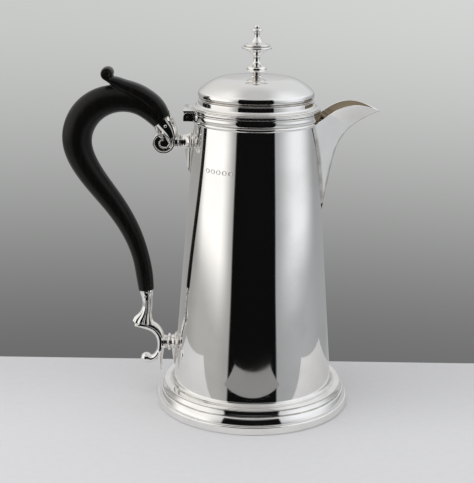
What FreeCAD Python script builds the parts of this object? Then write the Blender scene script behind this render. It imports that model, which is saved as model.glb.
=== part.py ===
import FreeCAD, Part
import math
import os

from FreeCAD import Vector

# Silver coffee pot with a hinged stepped lid, a beak spout and a black wooden handle.
# Millimetres. Origin on the pot's axis at the underside of the foot, +Z up, +X towards the spout.

# Clearances
SEAM_GAP = 0.3
RUNNING_FIT = 0.05
KNUCKLE_GAP = 0.3
BEZEL_GAP = 1.0
TENON_GAP = 0.3

# Wall and base
BASE_RADIUS = 48.2
MOUTH_RADIUS = 35.6
WALL = 1.0
WALL_TOP = 179.0
BASE_PLATE = 1.2

# Foot, from the ground up
FOOT_RADIUS = 58.6
BAND_HEIGHT = 5.0
BAND_WIDTH = 3.4
BAND_ROUND = 0.4
FILLET_IN = 1.0
FILLET_RISE = 0.9
OVOLO_IN = 1.6
OVOLO_RISE = 3.7
STEP_IN = 1.0
STEP_RISE = 0.6
COVE_IN = 1.2
COVE_RISE = 2.7
REED = 0.9
TOP_COVE_IN = 2.4
TOP_COVE_RISE = 2.2
PLATE_COVER = 0.2
LEDGE = 2.2
LEDGE_DEPTH = 1.4

# Mouth moulding, from the bottom up
RIM_DEPTH = 5.6
RIM_CAP = 1.3
RIM_RADIUS = 37.9
RIM_BEAD = 0.75
RIM_GROOVE = 0.7
RIM_BULGE = 0.35

# Spout
SPOUT_SHEET = 1.1
SPOUT_LOW = 121.0
SPOUT_TIP = (72.6, 181.0)
SPOUT_CREST = (56.0, 185.4)
SPOUT_ROOT_DROP = 3.5
SPOUT_ROOT_HALF_WIDTH = 15.0
SPOUT_WIDENING = 1.25
SPOUT_BULGE = 0.35
SPOUT_NARROWING = 1.25
SPOUT_KEEL = 0.6
SPOUT_KEEL_LEAN = 0.32
SPOUT_KEEL_HOOK = 6.5

# Strainer holes in the wall behind the spout
STRAINER_HOLE = 3.0
STRAINER_PITCH = 4.6
STRAINER_ROWS = 6

# Lid
LID_RADIUS = 38.0
LID_SHEET = 1.0
FLANGE_BAND = 1.2
FLANGE_REED = 0.6
FLANGE_COVE_RISE = 1.4
FLANGE_WIDTH = 6.0
BEZEL_DEPTH = 6.0
DOME_RADIUS = 34.0
DOME_BAND_RISE = 2.6
DOME_GROOVE = 1.0
DOME_GROOVE_RISE = 1.6
DOME_ROLL_RISE = 3.2
DOME_ROLL_IN = 0.45
SHOULDER_RISE = 5.1
SHOULDER_RADIUS = 27.0
SHOULDER_BULGE = 0.2
CROWN_RADIUS = 18.0
CROWN_EDGE_RISE = 2.95
CROWN_RISE = 0.55

# Hinge
HINGE_LENGTH = 24.0
HINGE_KNUCKLES = 5
HINGE_OUT = 1.6
HINGE_DROP = 3.0
KNUCKLE_RADIUS = 2.5
HINGE_PIN_RADIUS = 0.9
HINGE_LEAF = 0.5
HINGE_PLATE = 0.8

# Finial
FINIAL_HEIGHT = 29.6
FINIAL_SEAT_RADIUS = 3.4
FINIAL_RING_RADIUS = 5.8
FINIAL_STEM_RADIUS = 1.8
FINIAL_SAUCER_RADIUS = 8.8
FINIAL_TIP_RADIUS = 3.1
FINIAL_BALL_RADIUS = 1.5
STUD_RADIUS = 1.5
STUD_PROUD = 0.8
NUT_RADIUS = 3.2
NUT_HEIGHT = 2.4

# Handle mounts on the wall
UPPER_MOUNT_Z = 161.3
LOWER_MOUNT_Z = 35.9
BACKPLATE = 1.2
UPPER_PLATE_RADIUS = 7.2
UPPER_PLATE_TAIL = 19.0
LOWER_PLATE_RADIUS = 7.0
LOWER_PLATE_TAIL = 15.0

# Upper socket, from the wall outwards
UPPER_REACH = 18.0
UPPER_RISE = 12.6
SOCKET_LEAN = 53.0
SOCKET_RADIUS = 5.9
SOCKET_LENGTH = 8.5
SOCKET_KNEE_RADIUS = 5.6
VOLUTE_RADIUS = 6.3
VOLUTE_WIDTH = 9.0
VOLUTE_REACH = 17.2
UPPER_NECK_LENGTH = 9.4
UPPER_NECK_RADIUS = 3.9
UPPER_NECK_RING = 4.5
UPPER_NECK_FLARE = 6.6

# Lower ferrule, scroll and neck, from the wall outwards
LOWER_REACH = 18.6
LOWER_RISE = 33.3
FERRULE_LEAN = 9.0
FERRULE_LENGTH = 21.0
FERRULE_RIM_RADIUS = 4.2
FERRULE_WAIST_RADIUS = 3.0
FERRULE_FLARE_RADIUS = 4.9
SCROLL_WIDTH = 7.0
SCROLL_BALL_RADIUS = 2.9
LOWER_NECK_LENGTH = 8.5
LOWER_NECK_RADIUS = 4.3
LOWER_NECK_RING = 5.8

# Lower scroll, as places out from the wall and up from the middle of the neck
SCROLL_OUTER = ((25.0, 11.3), (21.0, 13.6), (16.4, 14.5), (12.0, 11.2), (8.7, 6.0), (8.5, 0.0), (9.4, -12.0))
SCROLL_TAIL = (10.0, -19.0)
SCROLL_UNDER = ((11.6, -11.4), (14.6, -13.2), (19.5, -13.6))
SCROLL_BALL = (19.5, -10.9)
SCROLL_INNER = ((17.6, -9.9), (14.4, -9.2), (11.4, -3.4), (12.2, 2.3), (15.4, 6.4), (19.3, 8.7), (24.4, 9.4))

# Wooden handle: rise along the chord between its ends, reach out from the chord, thickness
HANDLE_CURVE = (
    (0.0, 0.0, 9.4),
    (9.2, 1.9, 10.3),
    (18.0, 4.3, 10.3),
    (36.0, 12.5, 11.5),
    (52.7, 25.0, 13.4),
    (69.8, 40.3, 15.4),
    (88.3, 48.9, 17.5),
    (105.5, 43.9, 18.4),
    (115.5, 30.0, 18.8),
    (115.2, 14.0, 16.4),
    (105.3, 0.0, 13.4),
)
HANDLE_FLATTENING = 0.92
TENON_SHARE = 0.62
TENON_LENGTH = 7.0
CROSS_PIN_RADIUS = 0.9
CROSS_PIN_DEPTH = 3.6

# Curled thumb rest, in the handle's rise and reach
CURL_RISE = 129.0
CURL_REACH = 34.0
CURL_RADIUS = 4.2
CURL_WIDTH = 11.0
TONGUE_WIDTH = 10.0
TONGUE_LENGTH = 12.5

# Heights and places that follow from the sizes above
FOOT_TOP = BAND_HEIGHT + FILLET_RISE + OVOLO_RISE + STEP_RISE + COVE_RISE + REED + TOP_COVE_RISE
PLATE_TOP = FOOT_TOP - PLATE_COVER
PLATE_BOTTOM = PLATE_TOP - BASE_PLATE
MOUTH_TOP = WALL_TOP + RIM_CAP
MOUTH_BORE = MOUTH_RADIUS - WALL
SPOUT_ROOT = WALL_TOP - SPOUT_ROOT_DROP
LID_BOTTOM = MOUTH_TOP + SEAM_GAP
FLANGE_TOP = LID_BOTTOM + FLANGE_BAND + 2 * FLANGE_REED + FLANGE_COVE_RISE
ROLL_TOP = FLANGE_TOP + DOME_BAND_RISE + DOME_GROOVE_RISE + DOME_ROLL_RISE
CROWN_TOP = ROLL_TOP + SHOULDER_RISE + CROWN_EDGE_RISE + CROWN_RISE
HINGE_X = -(LID_RADIUS + HINGE_OUT)
HINGE_Z = LID_BOTTOM - HINGE_DROP
HINGE_BACK = HINGE_X + KNUCKLE_RADIUS + KNUCKLE_GAP + HINGE_LEAF


def wall_radius(z):
    """Outside radius of the straight tapering wall at a height."""
    share = (z - PLATE_TOP) / (WALL_TOP - PLATE_TOP)
    return BASE_RADIUS + (MOUTH_RADIUS - BASE_RADIUS) * share


def at(point):
    """Point of the XZ plane as a vector."""
    return Vector(point[0], 0, point[1])


def spline(points):
    """Smooth curve through points of the XZ plane."""
    curve = Part.BSplineCurve()
    curve.interpolate([at(point) for point in points])
    return curve


def outline(start, *steps):
    """Closed face in the XZ plane. A step is an end point, or a (middle, end) pair for an arc."""
    edges = []
    here = start
    for step in steps:
        if isinstance(step[0], tuple):
            middle, end = step
            edges.append(Part.Arc(at(here), at(middle), at(end)).toShape())
        else:
            end = step
            edges.append(Part.LineSegment(at(here), at(end)).toShape())
        here = end
    edges.append(Part.LineSegment(at(here), at(start)).toShape())
    return Part.Face(Part.Wire(edges))


def turned(face, start=(0, 0), direction=(0, 1)):
    """Solid of a face turned about an axis in the XZ plane, the pot's own axis if none is given."""
    return face.revolve(at(start), at(direction), 360)


def across(face, width):
    """Solid of a face in the XZ plane, of a given width about y = 0."""
    face.translate(Vector(0, -width / 2, 0))
    return face.extrude(Vector(0, width, 0))


def rod(start, direction, radius, length):
    """Cylinder from a point of the XZ plane along a direction of that plane."""
    return Part.makeCylinder(radius, length, at(start), at(direction))


def cross_rod(centre, radius, width, middle=0.0):
    """Cylinder along Y through a point of the XZ plane."""
    low = Vector(centre[0], middle - width / 2, centre[1])
    return Part.makeCylinder(radius, width, low, Vector(0, 1, 0))


def block(x0, x1, y0, y1, z0, z1):
    """Box between two corners."""
    return Part.makeBox(x1 - x0, y1 - y0, z1 - z0, Vector(x0, y0, z0))


def wall_cone(offset, low, high):
    """Solid cone that follows the wall at an offset from its outside."""
    return Part.makeCone(wall_radius(low) + offset, wall_radius(high) + offset, high - low, Vector(0, 0, low))


def along(point, direction, distance):
    """Point of the XZ plane at a distance along a direction."""
    return (point[0] + direction[0] * distance, point[1] + direction[1] * distance)


def single(shape):
    """Largest solid of a shape."""
    return max(shape.Solids, key=lambda solid: solid.Volume)


# Foot and wall


def make_foot_band():
    inner = FOOT_RADIUS - BAND_WIDTH
    return turned(outline(
        (inner, 0),
        (FOOT_RADIUS - BAND_ROUND, 0),
        (FOOT_RADIUS, BAND_ROUND),
        (FOOT_RADIUS, BAND_HEIGHT - BAND_ROUND),
        (FOOT_RADIUS - BAND_ROUND, BAND_HEIGHT),
        (inner, BAND_HEIGHT),
    ))


def make_foot_moulding():
    inner = FOOT_RADIUS - BAND_WIDTH
    fillet = FOOT_RADIUS - FILLET_IN
    ovolo = fillet - OVOLO_IN
    step = ovolo - STEP_IN
    cove = step - COVE_IN
    top_cove = BASE_RADIUS + TOP_COVE_IN
    ledge = BASE_RADIUS - LEDGE
    fillet_z = BAND_HEIGHT + FILLET_RISE
    ovolo_z = fillet_z + OVOLO_RISE
    step_z = ovolo_z + STEP_RISE
    cove_z = step_z + COVE_RISE
    reed_z = cove_z + REED
    return turned(outline(
        (inner, BAND_HEIGHT),
        (fillet, BAND_HEIGHT),
        (fillet, fillet_z),
        ((fillet - OVOLO_IN * 0.25, fillet_z + OVOLO_RISE * 0.6), (ovolo, ovolo_z)),
        (step, ovolo_z),
        (step, step_z),
        ((step - COVE_IN * 0.8, step_z + COVE_RISE * 0.5), (cove, cove_z)),
        ((cove + REED * 0.4, cove_z + REED / 2), (cove, reed_z)),
        (top_cove, reed_z),
        ((BASE_RADIUS + TOP_COVE_IN * 0.3, reed_z + TOP_COVE_RISE * 0.4), (BASE_RADIUS, FOOT_TOP)),
        (BASE_RADIUS, PLATE_BOTTOM),
        (ledge, PLATE_BOTTOM),
        (ledge, PLATE_BOTTOM - LEDGE_DEPTH),
        (step - BAND_WIDTH, fillet_z + OVOLO_RISE / 2),
    ))


def make_base_plate():
    return Part.makeCylinder(BASE_RADIUS, BASE_PLATE, Vector(0, 0, PLATE_BOTTOM))


def make_body_shell():
    shell = wall_cone(0, PLATE_TOP, WALL_TOP).cut(wall_cone(-WALL, PLATE_TOP, WALL_TOP))
    return shell.cut(Part.makeCompound(strainer_holes()))


def strainer_holes():
    """Drilled holes inside the spout: each row has as many as fit between the spout's sides."""
    holes = []
    for row in range(STRAINER_ROWS):
        z = WALL_TOP - RIM_DEPTH - STRAINER_PITCH * (0.75 + 0.87 * row)
        room = 2 * (spout_root_width(z) - SPOUT_SHEET) - STRAINER_HOLE
        count = 1 + max(0, int(room / STRAINER_PITCH))
        for index in range(count):
            y = (index - (count - 1) / 2) * STRAINER_PITCH
            start = Vector(wall_radius(z) / 2, y, z)
            holes.append(Part.makeCylinder(STRAINER_HOLE / 2, BASE_RADIUS, start, Vector(1, 0, 0)))
    return holes


def rim_steps():
    """Outer side of the mouth moulding from the wall upwards: a bead, a groove and a rounded band."""
    low = WALL_TOP - RIM_DEPTH
    bead = wall_radius(low) + RIM_BEAD
    bead_top = low + 3 * RIM_BEAD
    band_low = bead_top + RIM_GROOVE
    band_top = WALL_TOP + (RIM_CAP - RIM_GROOVE) / 2
    band_edge = RIM_RADIUS - RIM_BULGE
    return (
        (wall_radius(low), low),
        (bead, low),
        ((bead + RIM_BEAD * 0.7, low + 1.7 * RIM_BEAD), (bead, bead_top)),
        (band_edge, band_low),
        ((RIM_RADIUS + RIM_BULGE, (band_low + band_top) / 2), (band_edge, band_top)),
        (RIM_RADIUS, band_top + RIM_GROOVE / 2),
        (RIM_RADIUS, MOUTH_TOP),
    )


def make_mouth_moulding():
    ring = turned(outline(
        *rim_steps(),
        (MOUTH_BORE, MOUTH_TOP),
        (MOUTH_BORE, WALL_TOP),
        (MOUTH_RADIUS, WALL_TOP),
    ))
    half = HINGE_LENGTH / 2 + KNUCKLE_GAP
    seat = block(HINGE_BACK - LID_RADIUS, HINGE_BACK, -half, half,
                 HINGE_Z - KNUCKLE_RADIUS - KNUCKLE_GAP, LID_BOTTOM)
    return ring.cut(seat)


def filled_pot(low, high):
    """Whole space inside the wall and the mouth moulding, between two heights."""
    space = turned(outline((0, low), (wall_radius(low), low), *rim_steps(), (RIM_RADIUS, high), (0, high)))
    space.rotate(Vector(0, 0, 0), Vector(0, 0, 1), 180)
    return space


# Spout


def spout_share(z):
    """Height as a share of the way from the spout's point on the wall to its root at the mouth."""
    return max(0.0, (z - SPOUT_LOW) / (SPOUT_ROOT - SPOUT_LOW))


def spout_root_width(z):
    """Half width of the spout where it meets the wall."""
    return SPOUT_ROOT_HALF_WIDTH * spout_share(z) ** SPOUT_WIDENING


def spout_keel(z):
    """Distance of the keel from the pot's axis: a slow S that runs out into the tip."""
    root = wall_radius(SPOUT_LOW)
    share = (z - SPOUT_LOW) / (SPOUT_TIP[1] - SPOUT_LOW)
    if share < 0:
        return root + share * WALL * 10
    lean = SPOUT_KEEL_LEAN * share
    hook = (1 - SPOUT_KEEL_LEAN) * share ** SPOUT_KEEL_HOOK
    return root + (SPOUT_TIP[0] - root) * (lean + hook)


def spout_side(z, inset):
    """Points of one side of a level section, from the wall to the keel, drawn in by an inset."""
    blend = min(1.0, spout_share(z)) ** 1.5
    root = wall_radius(z)
    depth = spout_keel(z) - root - inset * (2.2 - 1.2 * blend)
    half = spout_root_width(z) - inset
    points = []
    for index in range(7):
        share = index / 6
        straight = 1 - share
        bulged = straight ** SPOUT_NARROWING * (1 + SPOUT_BULGE * share)
        width = half * ((1 - blend) * straight + blend * bulged)
        points.append((root + depth * share, width + SPOUT_KEEL / 2 * share))
    return points


def spout_section(z, inset):
    """Level section of the spout from inside the wall to the keel."""
    side = spout_side(z, inset)
    left = [Vector(x, y, z) for x, y in side]
    right = [Vector(x, -y, z) for x, y in reversed(side)]
    back = wall_radius(z) * 0.75
    start = Vector(back, left[0].y, z)
    end = Vector(back, right[-1].y, z)
    edges = [Part.LineSegment(start, left[0]).toShape()]
    for points in (left, right):
        curve = Part.BSplineCurve()
        curve.interpolate(points)
        edges.append(curve.toShape())
    edges.insert(2, Part.LineSegment(left[-1], right[0]).toShape())
    edges.append(Part.LineSegment(right[-1], end).toShape())
    edges.append(Part.LineSegment(end, start).toShape())
    return Part.Wire(edges)


def spout_edge():
    """Side view of the upper edge, from inside the mouth over the crest to the tip."""
    rise = SPOUT_CREST[1] - SPOUT_ROOT
    run = SPOUT_CREST[0] - MOUTH_RADIUS
    fall = (SPOUT_TIP[0] - SPOUT_CREST[0], SPOUT_TIP[1] - SPOUT_CREST[1])
    return spline((
        (MOUTH_RADIUS - run * 0.4, SPOUT_ROOT - rise * 0.4),
        (MOUTH_RADIUS, SPOUT_ROOT),
        (MOUTH_RADIUS + run * 0.6, SPOUT_ROOT + rise * 0.8),
        SPOUT_CREST,
        (SPOUT_CREST[0] + fall[0] * 0.5, SPOUT_CREST[1] + fall[1] * 0.25),
        SPOUT_TIP,
    ))


def above_edge():
    """Space above the spout's upper edge."""
    curve = spout_edge()
    start = curve.value(curve.FirstParameter)
    end = curve.value(curve.LastParameter)
    sky = SPOUT_CREST[1] + SPOUT_TIP[0]
    far = end.x + SPOUT_TIP[0]
    corners = [end, Vector(far, 0, end.z), Vector(far, 0, sky), Vector(start.x, 0, sky), start]
    edges = [curve.toShape()]
    edges += [Part.LineSegment(a, b).toShape() for a, b in zip(corners, corners[1:])]
    return across(Part.Face(Part.Wire(edges)), 4 * SPOUT_ROOT_HALF_WIDTH)


def make_spout():
    rise = SPOUT_ROOT - SPOUT_LOW
    top = SPOUT_CREST[1] + SPOUT_SHEET
    shares = (0.04, 0.25, 0.5, 0.7, 0.85, 1.0)
    levels = [SPOUT_LOW + rise * share for share in shares] + [SPOUT_TIP[1], top]
    outside = Part.makeLoft([spout_section(z, 0.0) for z in levels], True, False)
    hollow = [z for z in levels if spout_root_width(z) > 2.2 * SPOUT_SHEET]
    inside = Part.makeLoft([spout_section(z, SPOUT_SHEET) for z in hollow], True, False)
    sheet = outside.cut(inside).cut(above_edge())
    return single(sheet.cut(filled_pot(SPOUT_LOW - rise, SPOUT_CREST[1] + rise)))


# Hinge


def knuckle_span(index):
    """Two ends, along Y, of one knuckle."""
    pitch = HINGE_LENGTH / HINGE_KNUCKLES
    start = -HINGE_LENGTH / 2 + index * pitch
    low = start + (KNUCKLE_GAP / 2 if index > 0 else 0)
    high = start + pitch - (KNUCKLE_GAP / 2 if index < HINGE_KNUCKLES - 1 else 0)
    return low, high


def barrel(index, radius):
    low, high = knuckle_span(index)
    return cross_rod((HINGE_X, HINGE_Z), radius, high - low, (low + high) / 2)


def make_hinge_body_leaf():
    half = HINGE_LENGTH / 2
    low = HINGE_Z - KNUCKLE_RADIUS
    leaf = block(HINGE_BACK - HINGE_LEAF, HINGE_BACK, -half, half, low, MOUTH_TOP)
    for index in range(0, HINGE_KNUCKLES, 2):
        y0, y1 = knuckle_span(index)
        knuckle = barrel(index, KNUCKLE_RADIUS)
        knuckle = knuckle.fuse(block(HINGE_X - KNUCKLE_RADIUS, HINGE_BACK, y0, y1, low, HINGE_Z))
        knuckle = knuckle.fuse(block(HINGE_X, HINGE_BACK, y0, y1, low, HINGE_Z + KNUCKLE_RADIUS))
        leaf = leaf.fuse(knuckle)
    return leaf.cut(make_hinge_pin()).removeSplitter()


def make_hinge_lid_leaf():
    half = HINGE_LENGTH / 2
    left = HINGE_X - KNUCKLE_RADIUS
    plate = block(left, HINGE_BACK, -half, half, LID_BOTTOM, LID_BOTTOM + HINGE_PLATE)
    leaf = plate.cut(Part.makeCylinder(LID_RADIUS, HINGE_PLATE, Vector(0, 0, LID_BOTTOM)))
    for index in range(1, HINGE_KNUCKLES, 2):
        y0, y1 = knuckle_span(index)
        leaf = leaf.fuse(barrel(index, KNUCKLE_RADIUS))
        leaf = leaf.fuse(block(left, HINGE_X + KNUCKLE_RADIUS, y0, y1, HINGE_Z, LID_BOTTOM))
    bore = cross_rod((HINGE_X, HINGE_Z), HINGE_PIN_RADIUS + RUNNING_FIT, HINGE_LENGTH)
    return leaf.cut(bore).removeSplitter()


def make_hinge_pin():
    return cross_rod((HINGE_X, HINGE_Z), HINGE_PIN_RADIUS, HINGE_LENGTH)


# Lid


def make_lid_flange():
    inner = LID_RADIUS - FLANGE_WIDTH
    band_z = LID_BOTTOM + FLANGE_BAND
    first = LID_RADIUS - FLANGE_REED
    second = first - FLANGE_REED
    first_z = band_z + FLANGE_REED
    second_z = first_z + FLANGE_REED
    cove = DOME_RADIUS + FLANGE_REED
    return turned(outline(
        (inner, LID_BOTTOM),
        (LID_RADIUS, LID_BOTTOM),
        (LID_RADIUS, band_z),
        (first, band_z),
        ((first + FLANGE_REED / 2, band_z + FLANGE_REED / 2), (first, first_z)),
        (second, first_z),
        ((second + FLANGE_REED / 2, first_z + FLANGE_REED / 2), (second, second_z)),
        ((cove + (second - cove) * 0.3, second_z + FLANGE_COVE_RISE * 0.35), (cove, FLANGE_TOP)),
        (inner, FLANGE_TOP),
    ))


def make_lid_bezel():
    outer = MOUTH_BORE - BEZEL_GAP
    low = LID_BOTTOM - BEZEL_DEPTH
    ring = Part.makeCylinder(outer, BEZEL_DEPTH, Vector(0, 0, low))
    return ring.cut(Part.makeCylinder(outer - LID_SHEET, BEZEL_DEPTH, Vector(0, 0, low)))


def dome_steps(inset):
    """Dome's outline from the finial's seat down to the flange, drawn in by an inset."""
    slant = inset * 0.7
    top = CROWN_TOP - inset
    crown = (CROWN_RADIUS - inset * 0.2, CROWN_TOP - CROWN_RISE - inset)
    shoulder = (SHOULDER_RADIUS - slant, ROLL_TOP + SHOULDER_RISE - slant)
    wall = DOME_RADIUS - inset
    roll = (wall - DOME_ROLL_IN, ROLL_TOP - inset * 0.5)
    band_z = FLANGE_TOP + DOME_BAND_RISE
    groove_z = band_z + DOME_GROOVE_RISE
    bulge = SHOULDER_BULGE
    return (
        (FINIAL_SEAT_RADIUS, top),
        ((CROWN_RADIUS * 0.56, top - CROWN_RISE * 0.3), crown),
        ((crown[0] * 0.48 + shoulder[0] * 0.52, crown[1] * 0.69 + shoulder[1] * 0.31), shoulder),
        (((shoulder[0] + roll[0]) / 2 + bulge, (shoulder[1] + roll[1]) / 2 + bulge), roll),
        ((wall, groove_z + DOME_ROLL_RISE * 0.5), (wall - DOME_GROOVE * 0.1, groove_z)),
        ((wall - DOME_GROOVE, band_z + DOME_GROOVE_RISE / 2), (wall, band_z)),
        (wall, FLANGE_TOP),
    )


def make_lid_dome():
    core = (STUD_RADIUS, CROWN_TOP)
    solid = turned(outline(core, *dome_steps(0.0), (STUD_RADIUS, FLANGE_TOP)))
    core = (STUD_RADIUS, CROWN_TOP - LID_SHEET)
    hollow = turned(outline(core, *dome_steps(LID_SHEET), (STUD_RADIUS, FLANGE_TOP)))
    return solid.cut(hollow)


def make_finial():
    height = FINIAL_HEIGHT
    ring = FINIAL_RING_RADIUS
    stem = FINIAL_STEM_RADIUS
    saucer = FINIAL_SAUCER_RADIUS
    tip = FINIAL_TIP_RADIUS
    stud = LID_SHEET + NUT_HEIGHT + STUD_PROUD

    def up(radius, share):
        return (radius, CROWN_TOP + height * share)

    def on_ball(degrees):
        angle = math.radians(degrees)
        centre = CROWN_TOP + height - FINIAL_BALL_RADIUS
        return (FINIAL_BALL_RADIUS * math.cos(angle), centre + FINIAL_BALL_RADIUS * math.sin(angle))

    return turned(outline(
        (0, CROWN_TOP - stud),
        (STUD_RADIUS, CROWN_TOP - stud),
        (STUD_RADIUS, CROWN_TOP),
        (FINIAL_SEAT_RADIUS, CROWN_TOP),
        up(FINIAL_SEAT_RADIUS, 0.01),
        (up(stem * 1.25, 0.025), up(stem * 1.1, 0.045)),
        (up(ring * 0.55, 0.07), up(ring * 0.83, 0.09)),
        (up(ring, 0.15), up(ring * 0.76, 0.205)),
        (up(stem * 1.35, 0.26), up(stem, 0.35)),
        (up(stem * 1.2, 0.395), up(stem * 1.7, 0.425)),
        (up(saucer * 0.6, 0.49), up(saucer * 0.9, 0.532)),
        (up(saucer, 0.556), up(saucer * 0.9, 0.58)),
        up(saucer * 0.82, 0.585),
        (up(saucer * 0.86, 0.602), up(saucer * 0.76, 0.622)),
        (up(saucer * 0.45, 0.655), up(saucer * 0.3, 0.71)),
        (up(stem * 1.05, 0.745), up(stem * 0.85, 0.785)),
        (up(stem * 1.0, 0.845), up(tip, 0.885)),
        (up(tip * 0.9, 0.91), on_ball(-30)),
        (on_ball(30), on_ball(90)),
    ))


def make_finial_nut():
    top = CROWN_TOP - LID_SHEET
    corners = []
    for index in range(7):
        angle = math.radians(60 * index)
        corners.append(Vector(NUT_RADIUS * math.cos(angle), NUT_RADIUS * math.sin(angle), top - NUT_HEIGHT))
    nut = Part.Face(Part.makePolygon(corners)).extrude(Vector(0, 0, NUT_HEIGHT))
    return nut.cut(Part.makeCylinder(STUD_RADIUS, NUT_HEIGHT, Vector(0, 0, top - NUT_HEIGHT)))


# Handle mounts


def backplate(z, radius, tail):
    """Plate on the wall: round above, drawn out to a point below."""
    lean = radius / tail
    side = radius * math.sqrt(1 - lean ** 2)
    touch = z - radius * lean
    x = -2 * BASE_RADIUS
    left = Vector(x, -side, touch)
    right = Vector(x, side, touch)
    point = Vector(x, 0, z - tail)
    edges = [
        Part.Arc(left, Vector(x, 0, z + radius), right).toShape(),
        Part.LineSegment(right, point).toShape(),
        Part.LineSegment(point, left).toShape(),
    ]
    bar = Part.Face(Part.Wire(edges)).extrude(Vector(-x, 0, 0))
    low = z - tail - radius
    high = z + 2 * radius
    return bar.common(wall_cone(BACKPLATE, low, high).cut(wall_cone(0, low, high)))


def make_upper_backplate():
    return backplate(UPPER_MOUNT_Z, UPPER_PLATE_RADIUS, UPPER_PLATE_TAIL)


def make_lower_backplate():
    return backplate(LOWER_MOUNT_Z, LOWER_PLATE_RADIUS, LOWER_PLATE_TAIL)


def upper_place(out, rise):
    """Place out from the wall and up from the middle of the upper mount."""
    return (-wall_radius(UPPER_MOUNT_Z) - out, UPPER_MOUNT_Z + rise)


def lower_place(out, rise):
    """Place out from the wall and up from the middle of the lower mount."""
    return (-wall_radius(LOWER_MOUNT_Z) - out, LOWER_MOUNT_Z + rise)


def socket_axis():
    lean = math.radians(SOCKET_LEAN)
    return upper_place(UPPER_REACH, UPPER_RISE), (math.cos(lean), -math.sin(lean))


def ferrule_axis():
    lean = math.radians(FERRULE_LEAN)
    return lower_place(LOWER_REACH, LOWER_RISE), (-math.sin(lean), -math.cos(lean))


def upper_tenon(gap):
    start, direction = socket_axis()
    return rod(start, direction, TENON_SHARE * SOCKET_RADIUS, TENON_LENGTH + gap)


def lower_tenon(gap):
    start, direction = ferrule_axis()
    return rod(start, direction, TENON_SHARE * FERRULE_WAIST_RADIUS, TENON_LENGTH + gap)


def make_upper_handle_pin():
    start, direction = socket_axis()
    return cross_rod(along(start, direction, CROSS_PIN_DEPTH), CROSS_PIN_RADIUS, 2 * SOCKET_RADIUS)


def make_lower_handle_pin():
    start, direction = ferrule_axis()
    return cross_rod(along(start, direction, CROSS_PIN_DEPTH), CROSS_PIN_RADIUS, 2 * FERRULE_RIM_RADIUS)


def solid_socket():
    """Cup for the wood, the knee below it, the volute and the seat of the neck."""
    start, direction = socket_axis()
    cup = rod(start, direction, SOCKET_RADIUS, SOCKET_LENGTH)
    knee = Part.makeSphere(SOCKET_KNEE_RADIUS, at(along(start, direction, SOCKET_LENGTH)))
    volute = cross_rod(upper_place(VOLUTE_REACH, 0), VOLUTE_RADIUS, VOLUTE_WIDTH)
    seat = rod(upper_place(VOLUTE_REACH, 0), (1, 0), UPPER_NECK_RADIUS, VOLUTE_REACH - UPPER_NECK_LENGTH)
    return cup.fuse(knee).fuse(volute).fuse(seat).removeSplitter()


def make_upper_socket():
    return solid_socket().cut(upper_tenon(TENON_GAP)).cut(make_upper_handle_pin())


def make_upper_neck():
    out = UPPER_NECK_LENGTH
    waist = UPPER_NECK_RADIUS
    ring = UPPER_NECK_RING
    ring_half = (ring - waist) / 1.2
    middle = out * 0.58
    foot = -BACKPLATE

    def on(place, radius):
        return upper_place(place, radius)

    spool = turned(outline(
        on(out, 0),
        on(out, waist),
        on(middle + ring_half, waist),
        (on(middle, ring), on(middle - ring_half, waist)),
        (on(out * 0.3, waist + (UPPER_NECK_FLARE - waist) * 0.25), on(BACKPLATE, UPPER_NECK_FLARE)),
        on(foot, UPPER_NECK_FLARE),
        on(foot, 0),
    ), upper_place(0, 0), (1, 0))
    low = UPPER_MOUNT_Z - 2 * UPPER_PLATE_RADIUS
    high = UPPER_MOUNT_Z + 2 * UPPER_PLATE_RADIUS
    return single(spool.cut(solid_socket()).cut(wall_cone(BACKPLATE, low, high)))


def solid_scroll():
    """C-scroll of the lower mount: upper arm, back, pointed tail and the arm that ends in a ball."""

    def curve(places):
        return spline([lower_place(*place) for place in places]).toShape()

    def line(first, last):
        return Part.LineSegment(at(lower_place(*first)), at(lower_place(*last))).toShape()

    edges = [
        curve(SCROLL_OUTER),
        line(SCROLL_OUTER[-1], SCROLL_TAIL),
        line(SCROLL_TAIL, SCROLL_UNDER[0]),
        curve(SCROLL_UNDER),
        line(SCROLL_UNDER[-1], SCROLL_INNER[0]),
        curve(SCROLL_INNER),
        line(SCROLL_INNER[-1], SCROLL_OUTER[0]),
    ]
    strap = across(Part.Face(Part.Wire(edges)), SCROLL_WIDTH)
    return strap.fuse(Part.makeSphere(SCROLL_BALL_RADIUS, at(lower_place(*SCROLL_BALL)))).removeSplitter()


def make_lower_neck():
    out = LOWER_NECK_LENGTH
    waist = LOWER_NECK_RADIUS
    ring = LOWER_NECK_RING
    ring_half = (ring - waist) / 1.2
    foot = -BACKPLATE

    def on(place, radius):
        return lower_place(place, radius)

    spool = turned(outline(
        on(out + ring_half, 0),
        on(out + ring_half, waist),
        on(out * 0.55 + ring_half, waist),
        (on(out * 0.55, ring), on(out * 0.55 - ring_half, waist)),
        (on(out * 0.25, waist * 1.05), on(BACKPLATE, ring)),
        on(foot, ring),
        on(foot, 0),
    ), lower_place(0, 0), (1, 0))
    low = LOWER_MOUNT_Z - 2 * LOWER_PLATE_RADIUS
    high = LOWER_MOUNT_Z + 2 * LOWER_PLATE_RADIUS
    return single(spool.cut(solid_scroll()).cut(wall_cone(BACKPLATE, low, high)))


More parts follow.
